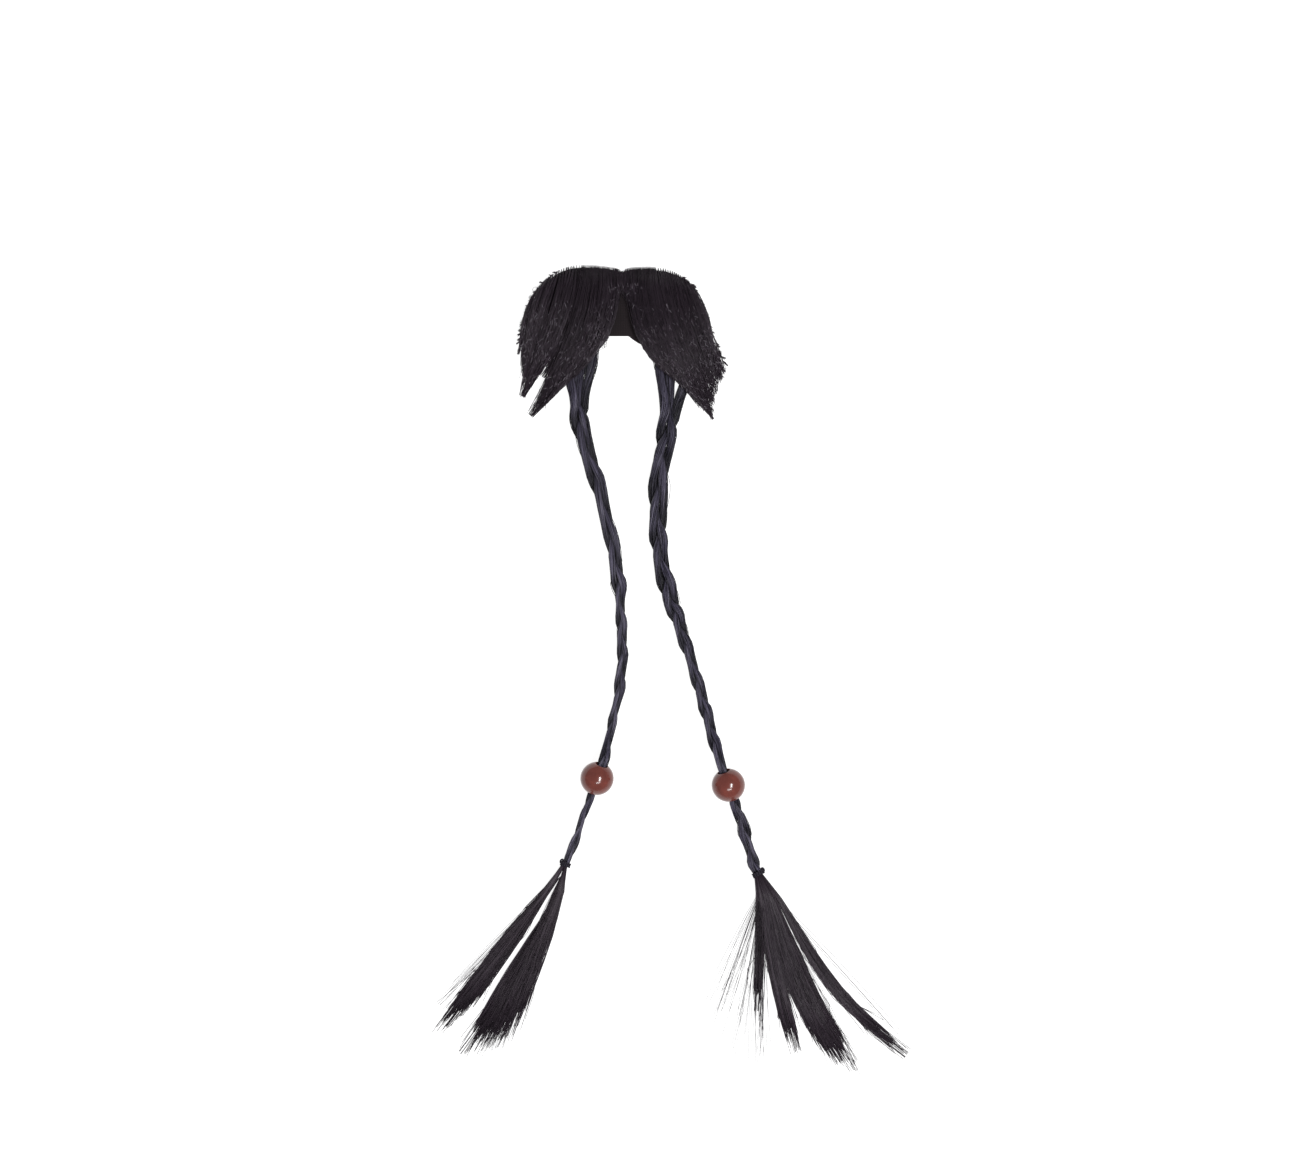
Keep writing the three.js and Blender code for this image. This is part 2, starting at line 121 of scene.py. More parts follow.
# Plaits: each route runs from under the hair to the tie. The first rows are the fan, where the three strands
# draw together from their roots, and then necks and bellies take turns down the plait. Height is that of the
# plait's middle where it is lifted, and 0 where it lies on the table. Fan is how far to the side of the route
# each strand sets out, and half its width there.
RouteRow = namedtuple("RouteRow", "x y height width")
FanStrand = namedtuple("FanStrand", "side half_width")
Plait = namedtuple("Plait", "fan bead_row route")
PLAITS = {
    "left": Plait(
        fan=(FanStrand(-3.5, 1.65), FanStrand(0, 1.65), FanStrand(3.5, 1.65)),
        bead_row=20,
        route=[RouteRow(*row) for row in (
            (-12.4, -17.6, 1, 5), (-12.9, -24.6, 1.3, 5.2), (-12.7, -31.2, 0, 5.4), (-12.7, -36, 0, 5.9),
            (-9.9, -46.2, 0, 4.4), (-7.7, -53.2, 0, 5.2), (-5.4, -61.8, 0, 3.8), (-3.2, -71, 0, 4.4),
            (-1.8, -79, 0, 3.8), (-0.9, -84.4, 0, 4.8), (-0.5, -90.7, 0, 2.6), (-0.2, -95.8, 0, 3.6),
            (0, -100.5, 0, 2.9), (0.2, -105.4, 0, 3.5), (-0.2, -110.4, 0, 2.8), (-0.6, -115, 0, 3.7),
            (-1.7, -121.3, 0, 2.1), (-2.9, -126.2, 1.3, 2.8), (-3.8, -130.4, 2.4, 2.3),
            (-5.2, -136.2, 6.2, 3), (-7.4, -142.6, 5, 2.6), (-9.4, -148.4, 2.9, 2.3),
            (-11.1, -153, 1.3, 2), (-12.6, -157.3, 0, 1.7), (-14.3, -162.3, 0, 2.7),
            (-16.9, -168.6, 1.7, 2),
        )],
    ),
    "right": Plait(
        fan=(FanStrand(-4.1, 1.35), FanStrand(-0.9, 1.55), FanStrand(5.2, 1.95)),
        bead_row=21,
        route=[RouteRow(*row) for row in (
            (15.4, -18.6, 1, 5), (15, -26, 1.5, 5.8), (14.4, -34, 0, 6.2), (13.3, -39.6, 0, 6.4),
            (12.2, -47, 0, 5.4), (10.8, -56.4, 0, 6.2), (10.9, -65.4, 0, 5.2), (10.9, -71, 0, 5.7),
            (11.7, -77.2, 0, 4.5), (13.2, -84.2, 0, 5.8), (14.7, -89.7, 0, 4.7), (16, -93.2, 0, 5),
            (17.6, -97.8, 0, 3.6), (19.1, -102.6, 0, 4.2), (20.9, -107.9, 0, 2.9), (22.6, -113.8, 0, 3.9),
            (24, -118.5, 0, 3.2), (25, -122.3, 0, 4.1), (26.5, -127.5, 1.9, 3.1), (27.7, -132, 3.2, 3.8),
            (29.4, -137.6, 6.2, 2.7), (31.8, -144.6, 5, 2.8), (34, -150.8, 2.9, 3.3),
            (35.2, -154.2, 2, 3.1), (36.8, -159.1, 0, 4), (38.1, -163.7, 0, 2.7), (39.4, -168, 0, 3.8),
            (40.8, -171.3, 1.9, 2.6),
        )],
    ),
}
FAN_ROWS = 2
ROWS_PER_ROUND = 6
FIRST_STRAND_THIRD = 2
# Shares of the plait's half-width: how far a strand's middle swings sideways and up, and the half sizes of
# its section, from where it crosses the middle to where it bulges at the edge
STRAND_SHARE = SimpleNamespace(
    side_swing=0.6,
    lift_swing=0.4,
    crossing_half_width=0.19,
    edge_half_width=0.4,
    crossing_half_depth=0.28,
    edge_half_depth=0.35,
)
PLAIT_FLATNESS = 0.71
FAN_STRAND_HALF_DEPTH = 0.9

# Locks of the tassels, from left to right. Each runs on from the tie to its tip, and bow is how far its
# middle is drawn to the left of that way, as seen from the tie.
TasselLock = namedtuple("TasselLock", "tip bow belly_width tip_width depth")
TASSEL_LOCKS = {
    "left": [
        TasselLock((-53, -215.4), -0.6, 3.4, 2.4, 1.8),
        TasselLock((-47.6, -211.4), -0.6, 3.2, 2, 1.8),
        TasselLock((-45, -221.2), 1.5, 3, 2.6, 1.9),
        TasselLock((-39, -219.6), 1, 3.2, 2.8, 2),
        TasselLock((-32.6, -216.6), 0.4, 3.2, 2.6, 1.9),
    ],
    "right": [
        TasselLock((40.3, -209), 0, 2.8, 1.2, 1.4),
        TasselLock((51, -220.8), -1.2, 4.6, 2.4, 1.8),
        TasselLock((60.4, -223), -2.4, 4.4, 2.8, 1.9),
        TasselLock((66.8, -225.6), -2.2, 4.2, 2.8, 2),
        TasselLock((80.6, -221.6), -3.1, 3.6, 2, 1.9),
    ],
}
TASSEL = SimpleNamespace(
    head_gap=0.3,
    head_length=3.5,
    head_share=0.85,
    lock_start=0.5,
    lock_stagger=0.3,
    lock_depth_share=0.7,
    straight_share=0.08,
    settle_share=0.35,
    tip_depth=0.8,
)


# Options that settings share
COLOUR = {"subtype": "COLOR", "size": 3, "min": 0, "max": 1}
LENGTH = {"unit": "LENGTH", "precision": 5}


class BeardHairSettings(bpy.types.PropertyGroup):
    """Colour, thickness and number of the hairs"""

    shade: bpy.props.FloatVectorProperty(
        name="Hair Colour", description="Colour of most hairs", default=(0.0276, 0.0198, 0.0276), **COLOUR)
    # Painted light: the plait colour is a paler, lit copy of the hair colour, for the light the plaits catch
    plait_shade: bpy.props.FloatVectorProperty(
        name="Plait Colour", default=(0.038, 0.034, 0.053), **COLOUR,
        description="Colour of most hairs in the plaits, which lie straight and catch more light")
    # Painted highlight: the palest loose hairs take this colour, and show as glinting specks
    glint: bpy.props.FloatVectorProperty(
        name="Glint Colour", default=(0.14, 0.125, 0.145), **COLOUR,
        description="Colour of the palest loose hairs, which show as specks")
    # Painted highlight: the palest plait hairs take this colour, and show as glinting streaks
    plait_glint: bpy.props.FloatVectorProperty(
        name="Plait Glint Colour", default=(0.12, 0.11, 0.145), **COLOUR,
        description="Colour of the palest hairs in the plaits, which show as streaks")
    hair_width: bpy.props.FloatProperty(
        name="Hair Thickness", description="Diameter of a hair", default=0.00016, **LENGTH)
    flyaway_width: bpy.props.FloatProperty(
        name="Flyaway Thickness", default=0.00012, **LENGTH,
        description="Diameter of a loose hair that stands out from the rest")
    sweep_hairs: bpy.props.IntProperty(
        name="Sweep Hairs", description="Number of hairs in each sweep", default=3000)
    strand_hairs: bpy.props.IntProperty(
        name="Strand Hairs", description="Number of lengths of hair in each plait strand", default=1600)
    tassel_hairs: bpy.props.IntProperty(
        name="Tassel Hairs", description="Number of hairs in each tassel", default=2400)
    seed: bpy.props.IntProperty(
        name="Seed", description="Start of the random draws that place the hairs", default=11)


class BeardTrimSettings(bpy.types.PropertyGroup):
    """Sizes and colours of the backing, the beads and the ties"""

    cloth_colour: bpy.props.FloatVectorProperty(
        name="Cloth Colour", description="Colour of the backing cloth",
        default=(0.012, 0.0075, 0.0092), **COLOUR)
    cloth_thickness: bpy.props.FloatProperty(
        name="Cloth Thickness", description="Thickness of the backing cloth",
        default=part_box("backing")[1][2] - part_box("backing")[0][2], **LENGTH)
    bead_colour: bpy.props.FloatVectorProperty(
        name="Bead Colour", description="Colour of the beads", default=(0.115, 0.026, 0.019), **COLOUR)
    bead_diameter: bpy.props.FloatProperty(
        name="Bead Diameter", description="Diameter of a bead", default=0.01, **LENGTH)
    bead_bore: bpy.props.FloatProperty(
        name="Bead Bore", description="Diameter of the hole through a bead", default=0.0036, **LENGTH)
    thread_colour: bpy.props.FloatVectorProperty(
        name="Thread Colour", description="Colour of the ties", default=(0.012, 0.0105, 0.015), **COLOUR)
    thread_width: bpy.props.FloatProperty(
        name="Thread Thickness", default=0.0005, **LENGTH,
        description="Diameter of the thread that is wound round each plait's end")


class BeardStageSettings(bpy.types.PropertyGroup):
    """Floor, light and camera"""

    floor_colour: bpy.props.FloatVectorProperty(
        name="Floor Colour", description="Colour of the floor", default=(0.3, 0.3, 0.3), **COLOUR)
    floor_glow: bpy.props.FloatProperty(
        name="Floor Glow", default=0.9,
        description="Light that the floor gives by itself, as a light table does, to keep it free of shadows")
    sky_strength: bpy.props.FloatProperty(
        name="Surround Light", description="Strength of the even light from all round", default=0.4)
    side_power: bpy.props.FloatProperty(
        name="Side Softbox", description="Power of the tall soft light to the right", unit="POWER",
        default=9.0)
    front_power: bpy.props.FloatProperty(
        name="Front Softbox", description="Power of the wide soft light below the beard", unit="POWER",
        default=4.0)
    lens: bpy.props.FloatProperty(
        name="Lens", description="Focal length of the camera in millimetres", default=85.0)


# Curves and sections

def smoothstep(amount):
    """Rises from 0 to 1 with a soft start and end."""
    amount = np.clip(amount, 0, 1)
    return amount * amount * (3 - 2 * amount)


def ease(start, end, amount):
    """Blends from one value to another with a soft start and end."""
    return start + (end - start) * smoothstep(amount)


def through(start, middle, end, t):
    """The value at a share t of the way along a curve through a start, a middle and an end value."""
    return start * (1 - t) * (1 - 2 * t) + middle * 4 * t * (1 - t) + end * t * (2 * t - 1)


def unit(vectors):
    """The vectors at length 1."""
    return vectors / np.linalg.norm(vectors, axis=-1, keepdims=True)


def left_of(way):
    """Directions turned a quarter round to the left, seen from above."""
    return np.stack((-way[..., 1], way[..., 0]), axis=-1)


def between(places, count):
    """The number of the row before each place among a count of rows, and the share of the way to the next."""
    first = np.clip(np.floor(places).astype(int), 0, count - 2)
    return first, places - first


def interpolated(places, known, rows):
    """Rows of values, known at some places, at other places between them."""
    return np.stack([np.interp(places, known, column) for column in rows.T], axis=-1)


def cubic_points(start, curve, steps):
    """Points along one curve of an outline, without its end."""
    t = np.linspace(0, 1, steps, endpoint=False)[:, None]
    corners = [np.array(corner, float) for corner in (start, *curve)]
    weights = ((1 - t) ** 3, 3 * t * (1 - t) ** 2, 3 * t * t * (1 - t), t ** 3)
    return sum(weight * corner for weight, corner in zip(weights, corners))


def backing_polygon():
    """The backing's outline as a ring of points."""
    starts = [curve.end for curve in BACKING_OUTLINE[-1:] + BACKING_OUTLINE[:-1]]
    return np.concatenate([cubic_points(start, curve, OUTLINE_STEPS)
                           for start, curve in zip(starts, BACKING_OUTLINE)])


def inside(polygon, flat):
    """Which of the flat points lie inside the polygon."""
    x, y = flat[..., 0], flat[..., 1]
    found = np.zeros(x.shape, bool)
    for (x0, y0), (x1, y1) in zip(polygon, np.roll(polygon, -1, axis=0)):
        crosses = (y0 > y) != (y1 > y)
        if y0 != y1:
            found ^= crosses & (x < x0 + (y - y0) * (x1 - x0) / (y1 - y0))
    return found


def lifted_off(paths, cloth_top):
    """The paths with every point raised clear of the table and of the backing."""
    over_cloth = inside(backing_polygon(), paths[..., :2])
    floor = np.where(over_cloth, cloth_top + CLOTH_GAP, TABLE_GAP)
    paths[..., 2] = np.maximum(paths[..., 2], floor)
    return paths


def lock_points(curve, half_width, depth, underside, side, height):
    """Points inside a lock. Curve is its root, bend and tip and the share of the way along it, side runs
    from -1 to 1 across it, and height from -1 to 1 up its round section."""
    root, bend, tip, t = curve
    t = t[..., None]
    middle = (1 - t) ** 2 * root + 2 * t * (1 - t) * bend + t * t * tip
    along = unit((1 - t) * (bend - root) + t * (tip - bend))
    flat = middle + left_of(along) * (side * half_width)[..., None]
    level = underside + depth / 2 * (1 + height * np.sqrt(1 - side ** 2))
    return np.concatenate((flat, level[..., None]), axis=-1)


def route_points(plait):
    """The points that a plait's route runs through."""
    return np.array([(row.x, row.y, row.height or TABLE_GAP + PLAIT_FLATNESS * row.width / 2)
                     for row in plait.route])


def route_at(plait, rows):
    """Middle and direction of a plait's route at places along its rows: a centripetal Catmull-Rom curve."""
    points = route_points(plait)
    before = 2 * points[0] - points[1]
    after = 2 * points[-1] - points[-2]
    points = np.vstack((before, points, after))
    first, share = between(rows, len(plait.route))
    w = share[:, None]
    p0, p1, p2, p3 = (points[first + step] for step in range(4))
    gap0, gap1, gap2 = (np.linalg.norm(b - a, axis=1, keepdims=True) ** 0.5
                        for a, b in ((p0, p1), (p1, p2), (p2, p3)))
    leave = ((p1 - p0) / gap0 - (p2 - p0) / (gap0 + gap1) + (p2 - p1) / gap1) * gap1
    arrive = ((p2 - p1) / gap1 - (p3 - p1) / (gap1 + gap2) + (p3 - p2) / gap2) * gap1
    square = 3 * (p2 - p1) - 2 * leave - arrive
    cube = 2 * (p1 - p2) + leave + arrive
    middle = p1 + leave * w + square * w ** 2 + cube * w ** 3
    along = unit(leave + 2 * square * w + 3 * cube * w ** 2)
    return middle, along


def plait_stations(plait, rows):
    """Middle, direction, axes across and above, and half-width of a plait at places along its rows."""
    middle, along = route_at(plait, rows)
    across = unit(np.cross(UP, along))
    above = np.cross(along, across)
    widths = np.array([row.width for row in plait.route])
    first, share = between(rows, len(widths))
    half_width = ease(widths[first], widths[first + 1], share) / 2
    return SimpleNamespace(middle=middle, along=along, across=across, above=above, half_width=half_width)


def strand_sections(plait, strand, rows, half_width):
    """One strand's elliptical sections in the plait's own axes. The strand swings side to side once and up
    and down twice in each round, so that it passes over one neighbour and under the other."""
    rounds = np.maximum(0, rows - FAN_ROWS) / ROWS_PER_ROUND
    angle = TURN * (rounds + (strand + FIRST_STRAND_THIRD) / 3)
    edge = np.sin(angle) ** 2
    share = STRAND_SHARE
    wide = share.crossing_half_width + (share.edge_half_width - share.crossing_half_width) * edge
    deep = share.crossing_half_depth + (share.edge_half_depth - share.crossing_half_depth) * edge
    met = rows / FAN_ROWS
    fan = plait.fan[strand]
    return SimpleNamespace(
        side=ease(fan.side, half_width * share.side_swing * np.sin(angle), met),
        lift=ease(0, half_width * share.lift_swing * np.sin(2 * angle), met),
        half_width=ease(fan.half_width, half_width * wide, met),
        half_depth=ease(FAN_STRAND_HALF_DEPTH, half_width * deep, met),
    )


def plait_station(plait, row):
    """One station of a plait, with plain vectors."""
    station = plait_stations(plait, np.array([float(row)]))
    return SimpleNamespace(**{name: value[0] for name, value in vars(station).items()})


def plait_end(plait):
    """The plait's last station."""
    return plait_station(plait, len(plait.route) - 1)


# Hairs

# A batch of hairs: the points that each runs through, its thickness, how pale it is, from 0 to 1, and the
# painted light and shade at each point, as how much of that colour shows there
Hairs = namedtuple("Hairs", "paths widths tints shades")
HAIR_STEPS = 7
HAIR_SIDES = 3
HAIR_SHARE = np.linspace(0, 1, HAIR_STEPS)
# Thickness along a hair, as a share of the full one
HAIR_TAPER = np.interp(HAIR_SHARE, (0, 0.75, 1), (1, 1, 0.8))
# Painted light: each loose hair is painted a little paler at its root, to lift the shade among crowded roots
ROOT_SHADE = np.interp(HAIR_SHARE, (0, 0.5), (1.1, 1))
# Share of its bow that a bent hair has along it
ARCH = 4 * HAIR_SHARE * (1 - HAIR_SHARE)
# The share of a turn at which a tube's first edge lies, on its top
TOP_EDGE = 0.25
# A lean too slight to see, which gives a hair that stands upright an axis across it
UPRIGHT_LEAN = np.array((1e-6, 0, 0))
BAKE_MAP = "OFBake"
BAKE_MARGIN = 0.1


def loose_hairs(paths, width, tints):
    """A batch of hairs of one thickness, painted a little paler at their roots."""
    count = len(paths)
    return Hairs(paths, np.full(count, width), tints, np.tile(ROOT_SHADE, (count, 1)))


def joined(batches):
    """Several batches of hairs as one."""
    return Hairs(*(np.concatenate(parts) for parts in zip(*batches)))


def hair_mesh(name, hairs):
    """One mesh of closed, tapering, three-sided tubes, one along each hair's path."""
    count = len(hairs.paths)
    along = unit(np.gradient(hairs.paths, axis=1))
    across = unit(np.cross(along, UP) + UPRIGHT_LEAN)
    above = np.cross(across, along)
    radius = (hairs.widths[:, None] / 2 * HAIR_TAPER)[..., None]
    corners = []
    for side in range(HAIR_SIDES):
        angle = TURN * (side / HAIR_SIDES + TOP_EDGE)
        corners.append(hairs.paths + radius * (math.cos(angle) * across + math.sin(angle) * above))
    points = np.stack(corners, axis=2)

    shape = points.shape[:3]
    index = np.arange(math.prod(shape)).reshape(shape)
    here, ahead = index[:, :-1], index[:, 1:]
    walls = np.stack((here, ahead, np.roll(ahead, -1, axis=2), np.roll(here, -1, axis=2)), axis=-1)
    roots = index[:, 0]
    tips = index[:, -1, ::-1]
    face_sizes = np.repeat((walls.shape[-1], HAIR_SIDES), (here.size, 2 * count))

    mesh = bpy.data.meshes.new(name)
    mesh.vertices.add(index.size)
    mesh.vertices.foreach_set("co", (points * MM).reshape(-1))
    mesh.loops.add(int(face_sizes.sum()))
    corner_numbers = np.concatenate([faces.reshape(-1) for faces in (walls, roots, tips)])
    mesh.loops.foreach_set("vertex_index", corner_numbers)
    mesh.polygons.add(len(face_sizes))
    mesh.polygons.foreach_set("loop_start", np.cumsum(face_sizes) - face_sizes)
    mesh.update(calc_edges=True)
    mesh.shade_smooth()
    add_hair_attributes(mesh, hairs, shape)
    add_hair_map(mesh, count)
    return mesh


def add_hair_attributes(mesh, hairs, shape):
    """Stores how pale each hair is, and the painted light and shade at each point."""
    for name, values in (("tint", hairs.tints[:, None, None]), ("shade", hairs.shades[:, :, None])):
        attribute = mesh.attributes.new(name, "FLOAT", "POINT")
        attribute.data.foreach_set("value", np.broadcast_to(values, shape).reshape(-1))


def add_hair_map(mesh, count):
    """Gives each hair its own square of the map, with its sides on top of each other."""
    columns = math.ceil(math.sqrt(count))
    number = np.arange(count)
    corner = np.stack((number % columns, number // columns), axis=1)
    low, high = HAIR_SHARE[:-1], HAIR_SHARE[1:]
    left, right = np.zeros_like(low), np.ones_like(low)
    quads = np.stack((left, low, left, high, right, high, right, low), axis=1).reshape(-1, 1, 4, 2)
    quads = np.broadcast_to(quads, (HAIR_STEPS - 1, HAIR_SIDES, 4, 2)).reshape(1, -1, 2)
    first, last = HAIR_SHARE[1], HAIR_SHARE[-2]
    root_cap = np.array([[[0, 0], [1, 0], [0.5, first]]])
    tip_cap = np.array([[[0, 1], [1, 1], [0.5, last]]])
    places = []
    for shape in (quads, root_cap, tip_cap):
        inset = BAKE_MARGIN + (1 - 2 * BAKE_MARGIN) * shape
        places.append(((corner[:, None] + inset) / columns).reshape(-1))
    layer = mesh.uv_layers.new(name=BAKE_MAP)
    layer.data.foreach_set("uv", np.concatenate(places).astype(np.float32))


# Hairs in locks

# Least and most waves along a hair
WAVES_ALONG = (0.7, 1.8)


def blended(locks, place):
    """Locks between neighbours, one for each place: place 1.5 is halfway from lock 1 to lock 2."""
    first, share = between(place, len(locks))
    mixed = {}
    for field in locks[0]._fields:
        values = np.array([getattr(lock, field) for lock in locks], float)
        part = share if values.ndim == 1 else share[:, None]
        mixed[field] = values[first] + (values[first + 1] - values[first]) * part
    return SimpleNamespace(**{field: value[:, None] for field, value in mixed.items()})


def random_tints(rng, clump_tints, clump_share):
    """How pale each hair is: partly as its clump, and partly its own."""
    own = rng.random(len(clump_tints))
    return clump_share * clump_tints + (1 - clump_share) * own


def waved(rng, paths, style):
    """The paths with a slight wave across each, wide on a few strays, growing from the root."""
    count = len(paths)
    stray = rng.random(count) < style.stray_share
    size = np.where(stray, style.stray_wave, style.wave) * rng.normal(size=count)
    turns = rng.uniform(*WAVES_ALONG, count)
    phase = rng.random(count)
    angle = TURN * (turns[:, None] * HAIR_SHARE + phase[:, None])
    along = unit(np.gradient(paths[..., :2], axis=1))
    paths[..., :2] += left_of(along) * (size[:, None] * np.sin(angle) * HAIR_SHARE)[..., None]
    return paths


def run_hairs(rng, run, start, width, style, points_at):
    """Hairs of a run of locks that flow into each other. Each hair belongs to a clump, and draws nearer to
    the clump's own path toward its tip. points_at gives points from places, sides, heights and shares of
    the way along."""
    count = len(start)
    clumps = max(1, count // style.clump_size)
    clump = rng.integers(clumps, size=count)
    least, most = (run[0], -1, -1), (run[1], 1, 1)
    middle = rng.uniform(least, most, (clumps, 3))[clump]
    own = np.clip(middle + style.clump_spread * rng.normal(size=(count, 3)), least, most)
    clump_end = style.clump_end * rng.normal(size=clumps)[clump]
    end = np.minimum(style.shortest + style.tail * rng.exponential(size=count) + clump_end, style.longest)
    t = start[:, None] + (end - start)[:, None] * HAIR_SHARE
    pull = (style.clump_pull * HAIR_SHARE ** 2)[:, None]
    paths = points_at(*own.T, t) * (1 - pull) + points_at(*middle.T, t) * pull
    darkest, palest = style.tints
    tints = darkest + (palest - darkest) * random_tints(rng, rng.random(clumps)[clump], style.clump_tint)
    return loose_hairs(waved(rng, paths, style), width, tints)


# Hair sweeps: runs of locks that flow into each other, by the numbers of the first and the last, and the
# share of the hairs in each
SWEEP_RUNS = {
    "left": [(0, 2, 0.42), (2, 2, 0.08), (3, 3, 0.16), (4, 4, 0.14), (5, 5, 0.11), (6, 6, 0.09)],
    "right": [(0, 5, 0.85), (2, 2, 0.15)],
}
SWEEP = SimpleNamespace(
    root_spread=0.5,
    shortest=0.88,
    tail=0.07,
    longest=1.03,
    clump_size=22,
    clump_spread=0.3,
    clump_pull=0.6,
    clump_end=0.02,
    clump_tint=0.2,
    tints=(0.2, 0.62),
    rise_share=0.2,
    wave=0.14,
    stray_share=0.1,
    stray_wave=0.6,
)
# The cloth's upper and outer edge, as numbers of its outline's curves, and how far hair may stand out past it
UPPER_EDGE = (7, 8, 0, 1)
UPPER_EDGE_STEPS = 40
EDGE_REACH = (0.45, 0.8)
EDGE_NEAR = 3.5
EDGE_SHIFT_SHARE = 0.4
# Edges of the bare cloth below the parting: distances down the face, and places across it there
BARE_EDGE_DOWN = (-4, 0, 10.3)
BARE_EDGE = {"left": (-0.8, -2.2, -3.9), "right": (-0.6, 3.2, 5.2)}
BARE_SOFTNESS = 0.8
# Short hairs at the parting, which hide the cloth between the sweeps
PARTING = SimpleNamespace(
    hairs=260,
    root_x=(-1, 4.5),
    root_y=(7, 9.4),
    length=(5, 12),
    lean=(-0.12, 0.45),
    lift=(0.3, 1.1),
)
# Tufts of short bristles along the outer edges of the sweeps: points on each edge, from the top down
BRISTLE_EDGE = {
    "left": [(-19, 9.4), (-23.6, 6), (-26.8, 1.4), (-29, -4), (-30.4, -10), (-31, -15)],
    "right": [(17, 8.6), (21.4, 4.6), (24.4, -1.4), (26.2, -8), (28.6, -13), (31, -18.6), (29.4, -23)],
}
BRISTLE = SimpleNamespace(
    tufts=34,
    tuft_hairs=9,
    inset=(0.1, 0.5),
    tuft_spread=0.12,
    length=(0.7, 1.5),
    outward=(0.3, 1.6),
    lift=(0.2, 1.6),
)
# Short bent hairs that lie across the tops of the others, which are found in square cells
FRIZZ = SimpleNamespace(
    hairs=850,
    first_step=2,
    cell=1.0,
    width=1.2,
    length=(0.4, 1.5),
    turn=0.5,
    bow=0.08,
    rise=(-0.35, 0.15),
    # Painted highlight: frizz hairs are painted pale, so that they show as glinting specks
    tints=(0.58, 1.0),
)
# Two hairs that curl round on the left edge: middle and radius
CURLS = {"left": [(-25.9, 3.5, 0.95), (-27.1, 1.2, 0.8)], "right": []}
CURL_SWEEP = 0.95


def sweep_points(locks, place, side, height, t):
    """Points in a sweep's locks. The hairs rise out of the cloth at their roots."""
    lock = blended(locks, place)
    curve = (lock.root, lock.bend, lock.tip, t)
    half_width = through(lock.root_width, lock.bend_width, lock.tip_width, t) / 2
    depth = through(LOCK_ROOT_DEPTH, lock.depth, LOCK_TIP_DEPTH, t)
    depth = depth * smoothstep(HAIR_SHARE / SWEEP.rise_share)
    underside = through(LOCK_ROOT_LIFT, lock.bend_lift, lock.tip_lift, t)
    return lock_points(curve, half_width, depth, underside, side[:, None], height[:, None])


def upper_edge():
    """Points along the cloth's upper and outer edge, and the directions outward from it."""
    pieces = []
    for number in UPPER_EDGE:
        start = BACKING_OUTLINE[number - 1].end
        pieces.append(cubic_points(start, BACKING_OUTLINE[number], UPPER_EDGE_STEPS))
    edge = np.concatenate(pieces)
    along = unit(np.gradient(edge, axis=0))
    return edge, -left_of(along)


def rooted_on_edge(rng, paths):
    """The paths with their roots moved to the nearest point of the cloth's upper edge."""
    edge, outward = upper_edge()
    root = paths[:, 0, :2]
    nearest = np.linalg.norm(root[:, None] - edge[None], axis=2).argmin(axis=1)
    shift = edge[nearest] + outward[nearest] * rng.uniform(*EDGE_REACH, (len(paths), 1)) - root
    fading = 1 - smoothstep(HAIR_SHARE / EDGE_SHIFT_SHARE)
    paths[..., :2] += shift[:, None] * fading[None, :, None]
    return paths


def tucked(rng, paths):
    """The paths with what stands too far out past the cloth's upper edge drawn in."""
    edge, outward = upper_edge()
    flat = paths[..., :2].reshape(-1, 2)
    gaps = np.linalg.norm(flat[:, None] - edge[None], axis=2)
    nearest = gaps.argmin(axis=1)
    out = ((flat - edge[nearest]) * outward[nearest]).sum(axis=1)
    reach = np.repeat(rng.uniform(*EDGE_REACH, len(paths)), HAIR_STEPS)
    excess = np.where(gaps.min(axis=1) < EDGE_NEAR, np.maximum(0, out - reach), 0)
    paths[..., :2] -= (outward[nearest] * excess[:, None]).reshape(paths[..., :2].shape)
    return paths


def parted(rng, side, paths):
    """The paths with what crosses the bare cloth below the parting moved to its edge."""
    away = OUTWARD[side]
    edge = np.interp(-paths[..., 1], BARE_EDGE_DOWN, BARE_EDGE[side])
    soft = BARE_SOFTNESS * rng.normal(size=(len(paths), 1))
    paths[..., 0] = away * np.maximum(away * paths[..., 0], away * edge + soft)
    return paths


def flat_hairs(root, tip, level, width, tints):
    """Straight hairs from roots to tips, seen from above, at given levels along them."""
    share = HAIR_SHARE[None, :, None]
    flat = root[:, None] + (tip - root)[:, None] * share
    paths = np.concatenate((flat, level[..., None]), axis=-1)
    return loose_hairs(paths, width, tints)


def bowed(hairs, way, bow):
    """The hairs bent to the left of their way, most in the middle."""
    hairs.paths[..., :2] += (left_of(way) * bow)[:, None] * ARCH[None, :, None]
    return hairs


def parting_hairs(rng, side, width):
    """Short hairs that fan down from the top of the parting."""
    count = PARTING.hairs
    away = OUTWARD[side]
    root_x = away * rng.uniform(*PARTING.root_x, count)
    root = np.stack((root_x, rng.uniform(*PARTING.root_y, count)), axis=1)
    lean = away * rng.uniform(*PARTING.lean, count)
    length = rng.uniform(*PARTING.length, count)
    tip = root + length[:, None] * unit(np.stack((lean, -np.ones(count)), axis=1))
    level = LOCK_ROOT_LIFT + rng.uniform(*PARTING.lift, count)[:, None] * np.sin(HAIR_SHARE * TURN / 2)
    return flat_hairs(root, tip, level, width, rng.uniform(*SWEEP.tints, count))


